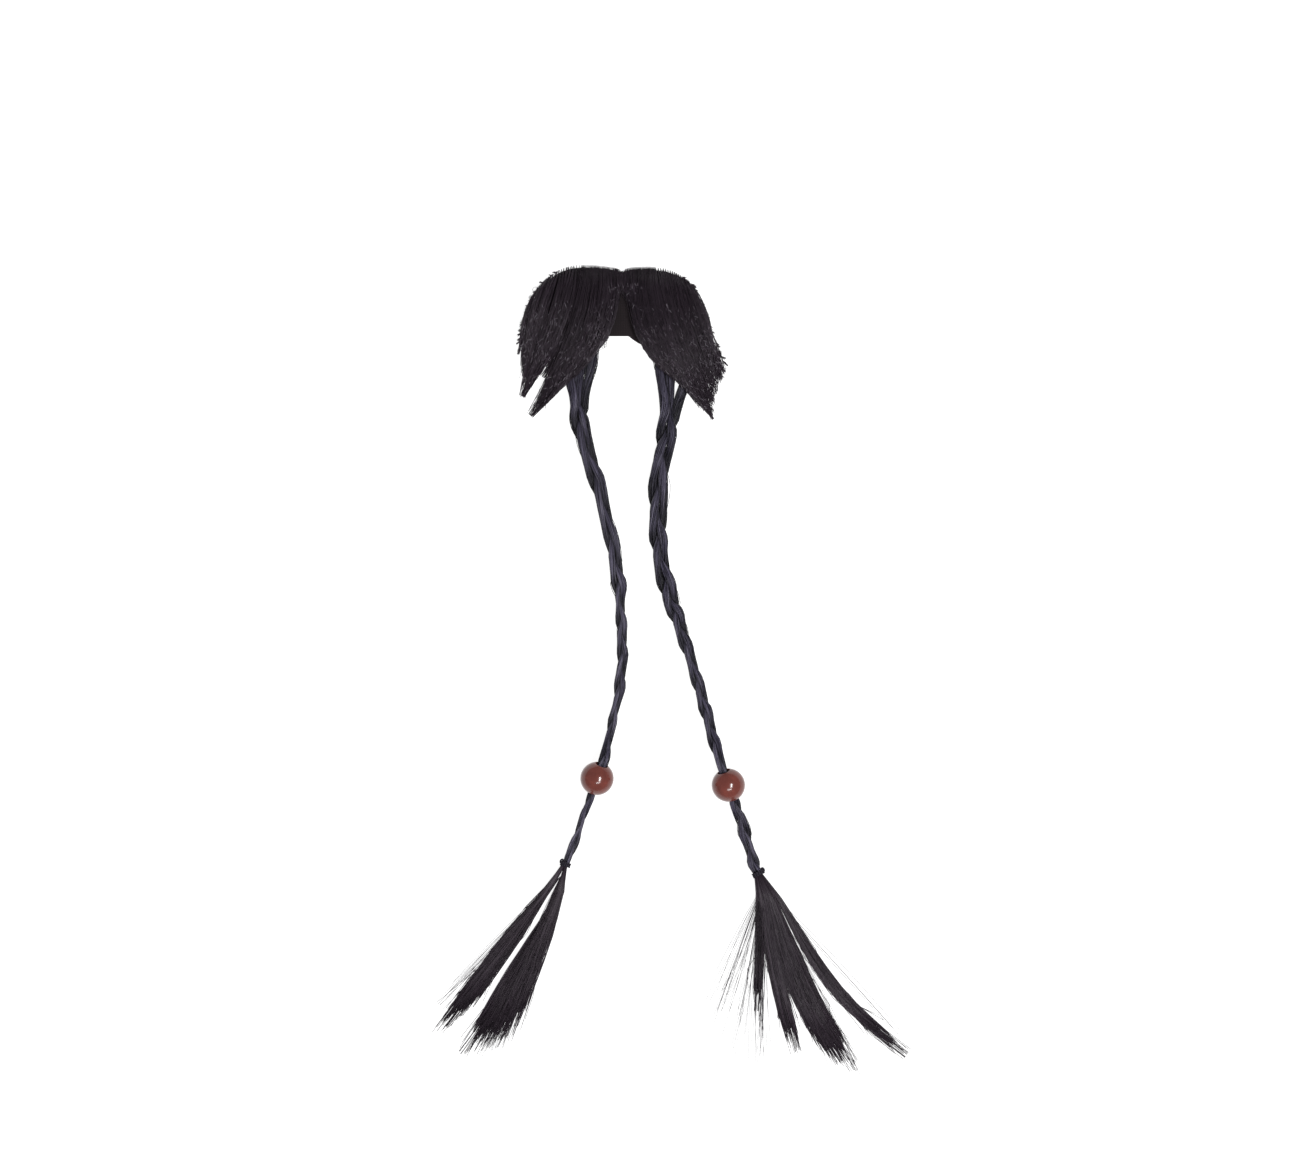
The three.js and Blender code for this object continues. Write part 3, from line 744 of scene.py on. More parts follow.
def bristles(rng, side, width):
    """Tufts of short hairs along the outer edge of a sweep, pointing down and outward."""
    edge = np.array(BRISTLE_EDGE[side])
    place = rng.uniform(0, len(edge) - 1, BRISTLE.tufts)
    number = np.arange(len(edge))
    middle = interpolated(place, number, edge)
    along = unit(interpolated(place, number, np.gradient(edge, axis=0)))
    outward = OUTWARD[side] * left_of(along)
    root = middle - outward * rng.uniform(*BRISTLE.inset, (BRISTLE.tufts, 1))
    way = unit(along + outward * rng.uniform(*BRISTLE.outward, (BRISTLE.tufts, 1)))

    tuft = np.repeat(np.arange(BRISTLE.tufts), BRISTLE.tuft_hairs)
    count = len(tuft)
    root = root[tuft] + BRISTLE.tuft_spread * rng.normal(size=(count, 2))
    way = unit(way[tuft] + BRISTLE.tuft_spread * rng.normal(size=(count, 2)))
    tip = root + way * rng.uniform(*BRISTLE.length, (count, 1))
    lift = rng.uniform(*BRISTLE.lift, BRISTLE.tufts)[tuft]
    level = LOCK_ROOT_LIFT + lift[:, None] * (1 - HAIR_SHARE ** 2)
    return flat_hairs(root, tip, level, width, rng.uniform(*SWEEP.tints, count))


def top_levels(paths, places):
    """The level of the highest hair near each of the places."""
    points = paths.reshape(-1, 3)
    cells = np.round(points[:, :2] / FRIZZ.cell).astype(int)
    lowest = cells.min(axis=0)
    tops = np.zeros(cells.max(axis=0) - lowest + 1)
    np.maximum.at(tops, tuple((cells - lowest).T), points[:, 2])
    return tops[tuple((np.round(places / FRIZZ.cell).astype(int) - lowest).T)]


def frizz_hairs(rng, hairs, width):
    """Short bent hairs on top of a sweep. Each starts over a point of another hair and turns away from it.
    They are painted pale, as glinting specks: a painted highlight.
    """
    count = FRIZZ.hairs
    owner = rng.integers(len(hairs.paths), size=count)
    step = rng.integers(FRIZZ.first_step, HAIR_STEPS - 1, size=count)
    along = hairs.paths[owner, step + 1, :2] - hairs.paths[owner, step, :2]
    root = hairs.paths[owner, step, :2] + along * rng.random((count, 1))
    along = unit(along)
    turn = FRIZZ.turn * rng.normal(size=(count, 1))
    way = along * np.cos(turn) + left_of(along) * np.sin(turn)
    tip = root + way * rng.uniform(*FRIZZ.length, (count, 1))
    bow = FRIZZ.bow * rng.normal(size=(count, 1))
    top = top_levels(hairs.paths, root) + rng.uniform(*FRIZZ.rise, count)
    level = np.repeat(top[:, None], HAIR_STEPS, axis=1)
    batch = flat_hairs(root, tip, level, FRIZZ.width * width, rng.uniform(*FRIZZ.tints, count))
    return bowed(batch, way, bow)


def curled_hairs(rng, side, width):
    """Hairs that curl round in a ring on the edge."""
    curls = CURLS[side]
    angle = TURN * CURL_SWEEP * HAIR_SHARE
    paths = np.empty((len(curls), HAIR_STEPS, 3))
    for number, (x, y, radius) in enumerate(curls):
        paths[number, :, 0] = x + radius * np.cos(angle)
        paths[number, :, 1] = y + radius * np.sin(angle)
        paths[number, :, 2] = LOCK_ROOT_LIFT + HAIR_SHARE
    return loose_hairs(paths, width, rng.random(len(curls)))


def sweep_hairs(rng, side, settings, cloth_top):
    """All the hairs of one side's sweep."""
    width = settings.hair_width / MM
    points_at = partial(sweep_points, HAIR_LOCKS[side])
    batches = []
    for first, last, share in SWEEP_RUNS[side]:
        count = int(settings.sweep_hairs * share / 2)
        from_edge = run_hairs(rng, (first, last), np.zeros(count), width, SWEEP, points_at)
        rooted_on_edge(rng, from_edge.paths)
        roots_below = SWEEP.root_spread * rng.random(count)
        from_cloth = run_hairs(rng, (first, last), roots_below, width, SWEEP, points_at)
        batches += [from_edge, from_cloth]
    batches.append(parting_hairs(rng, side, width))
    laid = joined(batches)
    laid = laid._replace(paths=parted(rng, side, tucked(rng, laid.paths)))
    frizz = frizz_hairs(rng, laid, width)
    hairs = joined([laid, frizz, bristles(rng, side, width), curled_hairs(rng, side, width)])
    return hairs._replace(paths=lifted_off(hairs.paths, cloth_top))


# Plait strands
STRAND = SimpleNamespace(
    tables_per_row=12,
    root_length=8,
    root_level=1.2,
    fan_fullness=1.13,
    gather=0.15,
    gather_start=0.35,
    front_half_width=0.5,
    hair_length=(9, 15),
    shortest=1,
    surface_share=0.66,
    surface_depth=(0.9, 1.0),
    surface_width=1.2,
    inner_depth=(0.1, 0.75),
    inner_width=0.5,
    # Painted shade: hairs inside a strand are painted dark, as the shade within it
    inner_tint=0.1,
    dive=0.3,
    dive_power=3,
    twist_per_mm=0.07,
    # Streaks of paler hair round a strand: partly tone that differs at random, partly painted highlight
    streaks=18,
    streak_tint=0.45,
    # Painted shade and highlight: dark strand sides, dark where it passes under, pale where it passes over
    side_shade=0.1,
    back_shade=0.32,
    front_shade=1.3,
    front_rise=1.9,
    loose_share=0.02,
    loose_lift=0.45,
)


def strand_form(plait, strand):
    """Middles, axes, half sizes and painted shade along one strand, and the distance along it. It is drawn
    out past its first row, flat under the sweep. It is fuller in the fan, spreads where the strands meet and
    where it passes over or under the others, and is painted dark where it passes under and pale where it
    passes over."""
    last_row = len(plait.route) - 1
    rows = np.linspace(0, last_row, last_row * STRAND.tables_per_row + 1)
    station = plait_stations(plait, rows)
    section = strand_sections(plait, strand, rows, station.half_width)
    front = section.lift / (STRAND_SHARE.lift_swing * station.half_width)
    spread = STRAND.front_half_width * station.half_width - section.half_width
    meeting = np.clip((rows / FAN_ROWS - STRAND.gather_start) / (1 - STRAND.gather_start), 0, 1)
    fullness = ease(STRAND.fan_fullness, 1, rows / FAN_ROWS) + STRAND.gather * np.sin(meeting * TURN / 2)
    half_width = (section.half_width + spread * np.abs(front)) * fullness
    # Painted shade where the strand passes under the others, and painted highlight where it passes over
    crossing_shade = ease(STRAND.back_shade, STRAND.front_shade, (1 + front) / STRAND.front_rise)
    painted_shading = ease(1, crossing_shade, rows / FAN_ROWS)
    middle = station.middle + station.across * section.side[:, None] + station.above * section.lift[:, None]

    back = unit(middle[0] - middle[1]) * (1, 1, 0)
    root = middle[0] + back * STRAND.root_length
    root[2] = STRAND.root_level
    middle = np.vstack((root, middle))
    half_depth = np.concatenate(([0], section.half_depth))
    across, above, half_width, painted_shading = (
        np.concatenate((values[:1], values)) for values in (station.across, station.above, half_width, painted_shading))
    steps = np.linalg.norm(np.diff(middle, axis=0), axis=1)
    distance = np.concatenate(([0], np.cumsum(steps)))
    return distance, np.column_stack((middle, across, above, half_width, half_depth, painted_shading))


def strand_hairs(rng, plait, strand, settings, cloth_top):
    """Lengths of hair that run along one strand and dive into it at both ends."""
    count = settings.strand_hairs
    distance, form = strand_form(plait, strand)
    whole = distance[-1]
    length = rng.uniform(*STRAND.hair_length, count)
    start = rng.uniform(-STRAND.hair_length[0], whole, count)
    end = np.clip(start + length, STRAND.shortest, whole)
    start = np.clip(start, 0, whole - STRAND.shortest)
    along = start[:, None] + (end - start)[:, None] * HAIR_SHARE
    here = interpolated(along, distance, form)
    # The first three values take three columns each, and the sizes one each
    middle, across, above, sizes = np.split(here, (3, 6, 9), axis=-1)
    half_width, half_depth, painted_shading = np.moveaxis(sizes, -1, 0)

    streak = rng.integers(STRAND.streaks, size=count)
    turn = TURN * (streak + rng.random(count)) / STRAND.streaks
    angle = turn[:, None] + STRAND.twist_per_mm * along
    surface = rng.random(count) < STRAND.surface_share
    surface_depth = rng.uniform(*STRAND.surface_depth, count)
    inner_depth = rng.uniform(*STRAND.inner_depth, count)
    depth = np.where(surface, surface_depth, inner_depth)
    ends = np.abs(2 * HAIR_SHARE - 1) ** STRAND.dive_power
    loose = (rng.random(count) < STRAND.loose_share) * rng.random(count) * STRAND.loose_lift
    reach = depth[:, None] * (1 - STRAND.dive * ends) + loose[:, None] * (1 - ends)
    sideways = half_width * reach * np.cos(angle)
    upward = half_depth * reach * np.sin(angle)
    paths = middle + across * sideways[..., None] + above * upward[..., None]
    # Streak tints: partly random tone, and partly painted highlight where the palest reach the glint colour
    streak_tints = rng.random(STRAND.streaks)[streak]
    # Hairs inside the strand are painted dark, as painted shade
    tints = np.where(surface, random_tints(rng, streak_tints, STRAND.streak_tint), STRAND.inner_tint)
    surface_width = STRAND.surface_width * settings.hair_width / MM
    widths = np.where(surface, surface_width, STRAND.inner_width * half_width.min(axis=1))
    # Painted shade: each hair is painted darker toward the strand's sides than on its top
    shades = painted_shading * ease(STRAND.side_shade, 1, np.sin(angle))
    return Hairs(lifted_off(paths, cloth_top), widths, tints, shades)


# Tassels: runs of locks that flow into each other, as in the sweeps. Neck and fullness are how much of its
# locks' width each run spreads over, next to the tie and further down, and shift is how far to the right it
# swings between the two.
TasselRun = namedtuple("TasselRun", "first last share neck fullness shift")
TASSEL_RUNS = {
    "left": [TasselRun(0, 1.1, 0.36, 0.5, 1.15, 0), TasselRun(1.8, 4.2, 0.64, 0.3, 1.05, 1.3)],
    "right": [
        TasselRun(0, 0, 0.06, 0.9, 0.9, 0),
        TasselRun(0.95, 1.05, 0.2, 0.9, 0.9, 0),
        TasselRun(2, 3.1, 0.52, 0.75, 1, 1.3),
        TasselRun(4, 4, 0.22, 0.45, 1, 1.9),
    ],
}
TASSEL_HAIR = SimpleNamespace(
    start=(-0.045, -0.03),
    blunt_share=0.95,
    neck_end=0.5,
    shift_end=0.65,
    width=1.2,
    shortest=0.86,
    tail=0.055,
    longest=1.1,
    clump_size=8,
    clump_spread=0.25,
    clump_pull=0.8,
    clump_end=0.03,
    clump_tint=0.3,
    tints=(0, 0.68),
    wave=0.15,
    stray_share=0.06,
    stray_wave=1.5,
)
# Loose hairs whose tips lie between two points: their number, and how far short of the tips they may end
Flyaways = namedtuple("Flyaways", "start end count short")
FLYAWAYS = {
    "left": [
        Flyaways((-57.4, -210), (-52.6, -221), 34, 0.25),
        Flyaways((-44, -227), (-36, -225), 24, 0.12),
        Flyaways((-32, -218), (-29.6, -213), 16, 0.2),
    ],
    "right": [
        Flyaways((22.5, -204), (30, -223), 18, 0.25),
        Flyaways((29, -222), (46, -236), 30, 0.3),
        Flyaways((39, -212), (42.5, -220), 28, 0.1),
        Flyaways((60, -229), (73, -233), 22, 0.12),
        Flyaways((84, -226), (87, -222), 4, 0.15),
    ],
}
FLYAWAY = SimpleNamespace(bow=0.6, lift=2.5)


def tassel_head(plait):
    """The start, the end and the directions of a tassel's head, seen from above, with its level and size."""
    end = plait_end(plait)
    sideways = end.across[:2]
    heading = np.array((sideways[1], -sideways[0]))
    start = end.middle[:2] + TASSEL.head_gap * heading
    return SimpleNamespace(
        start=start,
        end=start + TASSEL.head_length * heading,
        sideways=sideways,
        heading=heading,
        level=end.middle[2],
        half_width=end.half_width,
        depth=2 * PLAIT_FLATNESS * TASSEL.head_share * end.half_width,
    )


def tassel_points(head, locks, run, place, side, height, t):
    """Points in a tassel's locks, which leave the head one beside the other and settle on the table. Shares
    of the way below 0 lead back into the tie."""
    lock = blended(locks, place)
    share = (place / (len(locks) - 1) - HALFWAY)[:, None, None]
    root = head.start + (head.end - head.start) * (TASSEL.lock_start + TASSEL.lock_stagger * share)
    root = root + head.sideways * share * head.half_width
    way = lock.tip - root
    length = np.linalg.norm(way, axis=-1, keepdims=True)
    bend = root + way * (HALFWAY - TASSEL.straight_share) + head.heading * TASSEL.straight_share * length
    bend = bend + unit(left_of(way)) * 2 * lock.bow[..., None]
    out = np.maximum(t, 0)
    half_width = through(head.half_width, lock.belly_width, lock.tip_width, out) / 2
    blunt = np.maximum(half_width, TASSEL_HAIR.blunt_share * lock.belly_width / 2)
    half_width = np.where(out > HALFWAY, blunt, half_width)
    half_width = half_width * ease(run.neck, run.fullness, out / TASSEL_HAIR.neck_end)
    root_depth = TASSEL.lock_depth_share * head.depth
    depth = through(root_depth, lock.depth, TASSEL.tip_depth, out)
    underside = ease(head.level - root_depth / 2, TABLE_GAP, out / TASSEL.settle_share)
    curve = (root, bend, lock.tip, out)
    points = lock_points(curve, half_width, depth, underside, side[:, None], height[:, None])
    swing = np.sin(TURN / 2 * np.sqrt(np.minimum(out / TASSEL_HAIR.shift_end, 1)))
    points[..., :2] += head.heading * length * np.minimum(t, 0)[..., None]
    points[..., :2] += head.sideways * run.shift * swing[..., None]
    return points


def flyaway_hairs(rng, head, spread, width):
    """Loose hairs from the head to tips between two points, each a little bowed."""
    count = spread.count
    start, end = np.array(spread.start), np.array(spread.end)
    tip = start + rng.random((count, 1)) * (end - start)
    tip = head.end + (tip - head.end) * (1 - spread.short * rng.random((count, 1)))
    root = np.broadcast_to(head.end, tip.shape)
    level = ease(head.level, TABLE_GAP, HAIR_SHARE / TASSEL.settle_share)
    level = level + FLYAWAY.lift * rng.random((count, 1)) * ARCH
    batch = flat_hairs(root, tip, level, width, rng.uniform(*TASSEL_HAIR.tints, count))
    return bowed(batch, unit(tip - root), FLYAWAY.bow * rng.normal(size=(count, 1)))


def tassel_hairs(rng, side, settings):
    """All the hairs of one tassel."""
    head = tassel_head(PLAITS[side])
    width = TASSEL_HAIR.width * settings.hair_width / MM
    batches = []
    for run in TASSEL_RUNS[side]:
        points_at = partial(tassel_points, head, TASSEL_LOCKS[side], run)
        start = rng.uniform(*TASSEL_HAIR.start, int(settings.tassel_hairs * run.share))
        batches.append(run_hairs(rng, run[:2], start, width, TASSEL_HAIR, points_at))
    for spread in FLYAWAYS[side]:
        batches.append(flyaway_hairs(rng, head, spread, settings.flyaway_width / MM))
    hairs = joined(batches)
    hairs.paths[..., 2] = np.maximum(hairs.paths[..., 2], TABLE_GAP)
    return hairs


# Materials

# Stops of the colour ramps: where each lies, and its share of the material's own colour
HAIR_TONES = ((0.1, 0.5), (0.5, 1), (0.75, 1.8))
# The last stop takes the glint colour: a painted highlight on the palest hairs
GLINT_STOP = 0.95
WEAVE_TONES = ((0, 0.55), (1, 1.5))
CLOTH_PATCH_TONES = ((0.3, 0.75), (0.7, 1))
BEAD_TONES = ((0.3, 0.78), (0.55, 1), (0.75, 1.3))
THREAD_TONES = ((0, 0.5), (1, 2))
WHITE = (1, 1, 1)
CLOTH_THREADS_PER_M = 620
# Least and most roughness
HAIR_ROUGHNESS = (0.36, 0.55)
BEAD_ROUGHNESS = (0.12, 0.22)
# How far the weave and the twist of the thread stand out
WEAVE_RELIEF = 0.00012
TWIST_RELIEF = 0.00005
# How much finer the twist is along the thread than round it
TWIST_STRETCH = (30, 1, 1)


def set_sockets(tree, node, **sockets):
    """Sets a node's input sockets to values, or links them where an output socket is given."""
    for name, value in sockets.items():
        socket = node.inputs[name.replace("_", " ")]
        if isinstance(value, bpy.types.NodeSocket):
            tree.links.new(value, socket)
        else:
            socket.default_value = value


def new_material(name, colour):
    """A material with a Principled shader, and its node tree."""
    material = bpy.data.materials.new(name)
    material.use_nodes = True
    tree = material.node_tree
    shader = tree.nodes["Principled BSDF"]
    set_sockets(tree, shader, Base_Color=(*colour, 1))
    return material, tree, shader


def add_node(tree, kind, **sockets):
    """A new node with its input sockets set."""
    node = tree.nodes.new(kind)
    set_sockets(tree, node, **sockets)
    return node


def add_texture(tree, kind, **sockets):
    """A new texture in the piece's own space."""
    place = tree.nodes.new("ShaderNodeTexCoord")
    return add_node(tree, kind, Vector=place.outputs["Object"], **sockets)


def add_attribute(tree, name):
    """The node that reads one of a mesh's attributes."""
    node = tree.nodes.new("ShaderNodeAttribute")
    node.attribute_name = name
    return node


def add_bump(tree, height, strength, distance):
    """The normals of a surface with a height laid on it."""
    node = add_node(tree, "ShaderNodeBump", Height=height, Strength=strength, Distance=distance)
    return node.outputs["Normal"]


def toned(colour, tones):
    """The stops of a ramp from darker to lighter tones of a colour."""
    return [(place, tuple(min(1.0, channel * share) for channel in colour)) for place, share in tones]


def add_ramp(tree, factor, stops):
    """A colour ramp with a stop for each position and colour."""
    ramp = add_node(tree, "ShaderNodeValToRGB", Fac=factor)
    elements = ramp.color_ramp.elements
    while len(elements) < len(stops):
        elements.new(HALFWAY)
    for element, (position, colour) in zip(elements, stops):
        element.position = position
        element.color = (*colour, 1)
    return ramp.outputs["Color"]


def add_range(tree, value, low, high):
    """A number from 0 to 1 moved to another range."""
    node = add_node(tree, "ShaderNodeMapRange", Value=value, To_Min=low, To_Max=high)
    return node.outputs["Result"]


def multiplied(tree, first, second):
    """Two colours multiplied."""
    node = tree.nodes.new("ShaderNodeMix")
    node.data_type = "RGBA"
    node.blend_type = "MULTIPLY"
    node.inputs["Factor"].default_value = 1
    colours = [socket for socket in node.inputs if socket.type == "RGBA"]
    tree.links.new(first, colours[0])
    tree.links.new(second, colours[1])
    return next(socket for socket in node.outputs if socket.type == "RGBA")


def hair_material(name, shade, glint):
    """Black synthetic hair. Each hair has its own tint, the palest ones a painted glint, and is multiplied at
    each point by the painted light and shade that its mesh carries.
    """
    material, tree, shader = new_material(name, shade)
    tint = add_attribute(tree, "tint")
    painted_shading = add_attribute(tree, "shade")
    colour = add_ramp(tree, tint.outputs["Fac"], [*toned(shade, HAIR_TONES), (GLINT_STOP, glint)])
    clouds = add_texture(tree, "ShaderNodeTexNoise", Scale=420.0, Detail=2.0)
    set_sockets(
        tree, shader, Base_Color=multiplied(tree, colour, painted_shading.outputs["Color"]),
        Roughness=add_range(tree, clouds.outputs["Fac"], *HAIR_ROUGHNESS), Specular_IOR_Level=0.2)
    return material


def cloth_material(settings):
    """Matt black-brown cloth in a plain weave."""
    colour = tuple(settings.cloth_colour)
    material, tree, shader = new_material("woven_backing", colour)
    weave = tree.nodes.new("ShaderNodeMath")
    weave.operation = "MULTIPLY"
    for direction, socket in zip(("X", "Y"), weave.inputs):
        wave = add_texture(tree, "ShaderNodeTexWave", Scale=CLOTH_THREADS_PER_M, Distortion=1.2, Detail=1.0)
        wave.bands_direction = direction
        tree.links.new(wave.outputs["Fac"], socket)
    woven = weave.outputs["Value"]
    patches = add_texture(tree, "ShaderNodeTexNoise", Scale=260.0, Detail=3.0)
    thread_colour = add_ramp(tree, woven, toned(colour, WEAVE_TONES))
    patch_colour = add_ramp(tree, patches.outputs["Fac"], toned(WHITE, CLOTH_PATCH_TONES))
    relief = add_bump(tree, woven, strength=0.6, distance=WEAVE_RELIEF)
    set_sockets(
        tree, shader, Base_Color=multiplied(tree, thread_colour, patch_colour),
        Normal=relief, Roughness=0.9, Specular_IOR_Level=0.25)
    return material


def bead_material(settings):
    """Polished red-brown bead with faint cloudy mottling."""
    colour = tuple(settings.bead_colour)
    material, tree, shader = new_material("polished_bead", colour)
    clouds = add_texture(tree, "ShaderNodeTexNoise", Scale=330.0, Detail=4.0, Roughness=0.6, Distortion=0.8)
    scuffs = add_texture(tree, "ShaderNodeTexNoise", Scale=1500.0, Detail=2.0)
    set_sockets(
        tree, shader, Base_Color=add_ramp(tree, clouds.outputs["Fac"], toned(colour, BEAD_TONES)),
        Roughness=add_range(tree, scuffs.outputs["Fac"], *BEAD_ROUGHNESS), Specular_IOR_Level=0.45)
    return material


def thread_material(settings):
    """Matt black twisted thread. The twist follows the turns through the piece's own map."""
    colour = tuple(settings.thread_colour)
    material, tree, shader = new_material("tie_thread", colour)
    place = tree.nodes.new("ShaderNodeUVMap")
    place.uv_map = "UVMap"
    turned = add_node(tree, "ShaderNodeMapping", Vector=place.outputs["UV"], Scale=TWIST_STRETCH)
    twist = add_node(tree, "ShaderNodeTexWave", Vector=turned.outputs["Vector"], Scale=0.32)
    twist.bands_direction = "DIAGONAL"
    twisted = twist.outputs["Fac"]
    relief = add_bump(tree, twisted, strength=0.3, distance=TWIST_RELIEF)
    set_sockets(
        tree, shader, Base_Color=add_ramp(tree, twisted, toned(colour, THREAD_TONES)),
        Normal=relief, Roughness=0.75, Specular_IOR_Level=0.1)
    return material


# Pieces

# What tells the random draws of one kind of piece from those of another
SWEEP_DRAWS = 1
STRAND_DRAWS = 2
TASSEL_DRAWS = 3


def deselect_all():
    """Leaves nothing selected, so that the next operators act on the new piece alone."""
    bpy.ops.object.select_all(action="DESELECT")


def apply_place(piece):
    """Moves a piece's place and turn into its mesh."""
    deselect_all()
    piece.select_set(True)
    bpy.context.view_layer.objects.active = piece
    bpy.ops.object.transform_apply(location=True, rotation=True, scale=True)


def apply_modifier(piece, kind, **values):
    """Adds a modifier to the active piece and applies it."""
    modifier = piece.modifiers.new(kind.lower(), kind)
    for name, value in values.items():
        setattr(modifier, name, value)
    bpy.ops.object.modifier_apply(modifier=modifier.name)


def finish_piece(piece, name, material, node):
    """Names a piece, gives it its material and makes it stand for its CAD node."""
    piece.name = name
    piece.data.name = name
    piece.data.materials.clear()
    piece.data.materials.append(material)
    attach(piece, BODY)
    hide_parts(node)


def add_hair_piece(context, name, hairs, material, node):
    """A piece made of hairs, in place of a CAD node."""
    piece = bpy.data.objects.new(name, hair_mesh(name, hairs))
    context.collection.objects.link(piece)
    finish_piece(piece, name, material, node)


def loose_hair(settings):
    """The material of the sweeps and the tassels, made on its first use."""
    return bpy.data.materials.get("loose_hair") or hair_material(
        "loose_hair", tuple(settings.shade), tuple(settings.glint))


def place_along(station):
    """The turn and place of a piece whose X runs across the plait, Y above it and Z along it."""
    turn = Matrix((station.across, station.above, station.along)).transposed().to_4x4()
    return Matrix.Translation(Vector(station.middle) * MM) @ turn


# Faces across the rounding of the cloth's edge, and of the rims of a bead's bore
EDGE_SEGMENTS = 2
RIM_SEGMENTS = 3


class BEARD_OT_backing(bpy.types.Operator):
    """Cuts the cloth that the hair is knotted into and that sticks to the chin"""

    bl_idname = "beard.backing"
    bl_label = "Backing"

    edge_round: bpy.props.FloatProperty(
        name="Edge Rounding", description="Radius of the cloth's edges", default=0.00025, **LENGTH)

    def execute(self, context):
        trim = context.scene.beard_trim
        deselect_all()
        bpy.ops.curve.primitive_bezier_circle_add()
        backing = context.object
        curve = backing.data
        curve.dimensions = "2D"
        curve.fill_mode = "BOTH"
        curve.resolution_u = OUTLINE_STEPS
        points = curve.splines[0].bezier_points
        points.add(len(BACKING_OUTLINE) - len(points))
        for number, point in enumerate(points):
            arriving = BACKING_OUTLINE[number - 1]
            leaving = BACKING_OUTLINE[number]
            point.handle_left_type = point.handle_right_type = "FREE"
            point.co = Vector((*arriving.end, 0)) * MM
            point.handle_left = Vector((*arriving.end_bend, 0)) * MM
            point.handle_right = Vector((*leaving.start_bend, 0)) * MM
        bpy.ops.object.convert(target="MESH")
        bpy.ops.object.mode_set(mode="EDIT")
        bpy.ops.mesh.select_all(action="SELECT")
        bpy.ops.mesh.remove_doubles()
        bpy.ops.mesh.dissolve_limited()
        bpy.ops.mesh.normals_make_consistent()
        bpy.ops.object.mode_set(mode="OBJECT")

        upward = 1 if backing.data.polygons[0].normal.z > 0 else -1
        apply_modifier(backing, "SOLIDIFY", thickness=trim.cloth_thickness, offset=upward)
        apply_modifier(backing, "BEVEL", width=self.edge_round, segments=EDGE_SEGMENTS)
        bpy.ops.object.shade_smooth_by_angle()
        apply_place(backing)

        material = cloth_material(trim)
        finish_piece(backing, "backing_cloth", material, "backing")
        return {"FINISHED"}


class BEARD_OT_hair_sweeps(bpy.types.Operator):
    """Lays the two sweeps of hair on the backing, parted in the middle"""

    bl_idname = "beard.hair_sweeps"
    bl_label = "Hair Sweeps"

    def execute(self, context):
        settings = context.scene.beard_hair
        material = loose_hair(settings)
        cloth_top = context.scene.beard_trim.cloth_thickness / MM
        for number, side in enumerate(SIDES):
            rng = np.random.default_rng((settings.seed, SWEEP_DRAWS, number))
            hairs = sweep_hairs(rng, side, settings, cloth_top)
            add_hair_piece(context, f"sweep_{side}", hairs, material, f"hair_{side}")
        return {"FINISHED"}


class BEARD_OT_plaits(bpy.types.Operator):
    """Plaits three strands of hair on each side"""

    bl_idname = "beard.plaits"
    bl_label = "Plaits"

    def execute(self, context):
        settings = context.scene.beard_hair
        # Painted light: the plaits get a paler, lit copy of the hair material
        material = hair_material("plaited_hair", tuple(settings.plait_shade), tuple(settings.plait_glint))
        cloth_top = context.scene.beard_trim.cloth_thickness / MM
        for number, side in enumerate(SIDES):
            for strand in STRANDS:
                rng = np.random.default_rng((settings.seed, STRAND_DRAWS, number, strand))
                hairs = strand_hairs(rng, PLAITS[side], strand, settings, cloth_top)
                name = f"plait_{side}_strand_{strand + 1}"
                add_hair_piece(context, name, hairs, material, f"braid_{side}_strand_{strand + 1}")
        return {"FINISHED"}


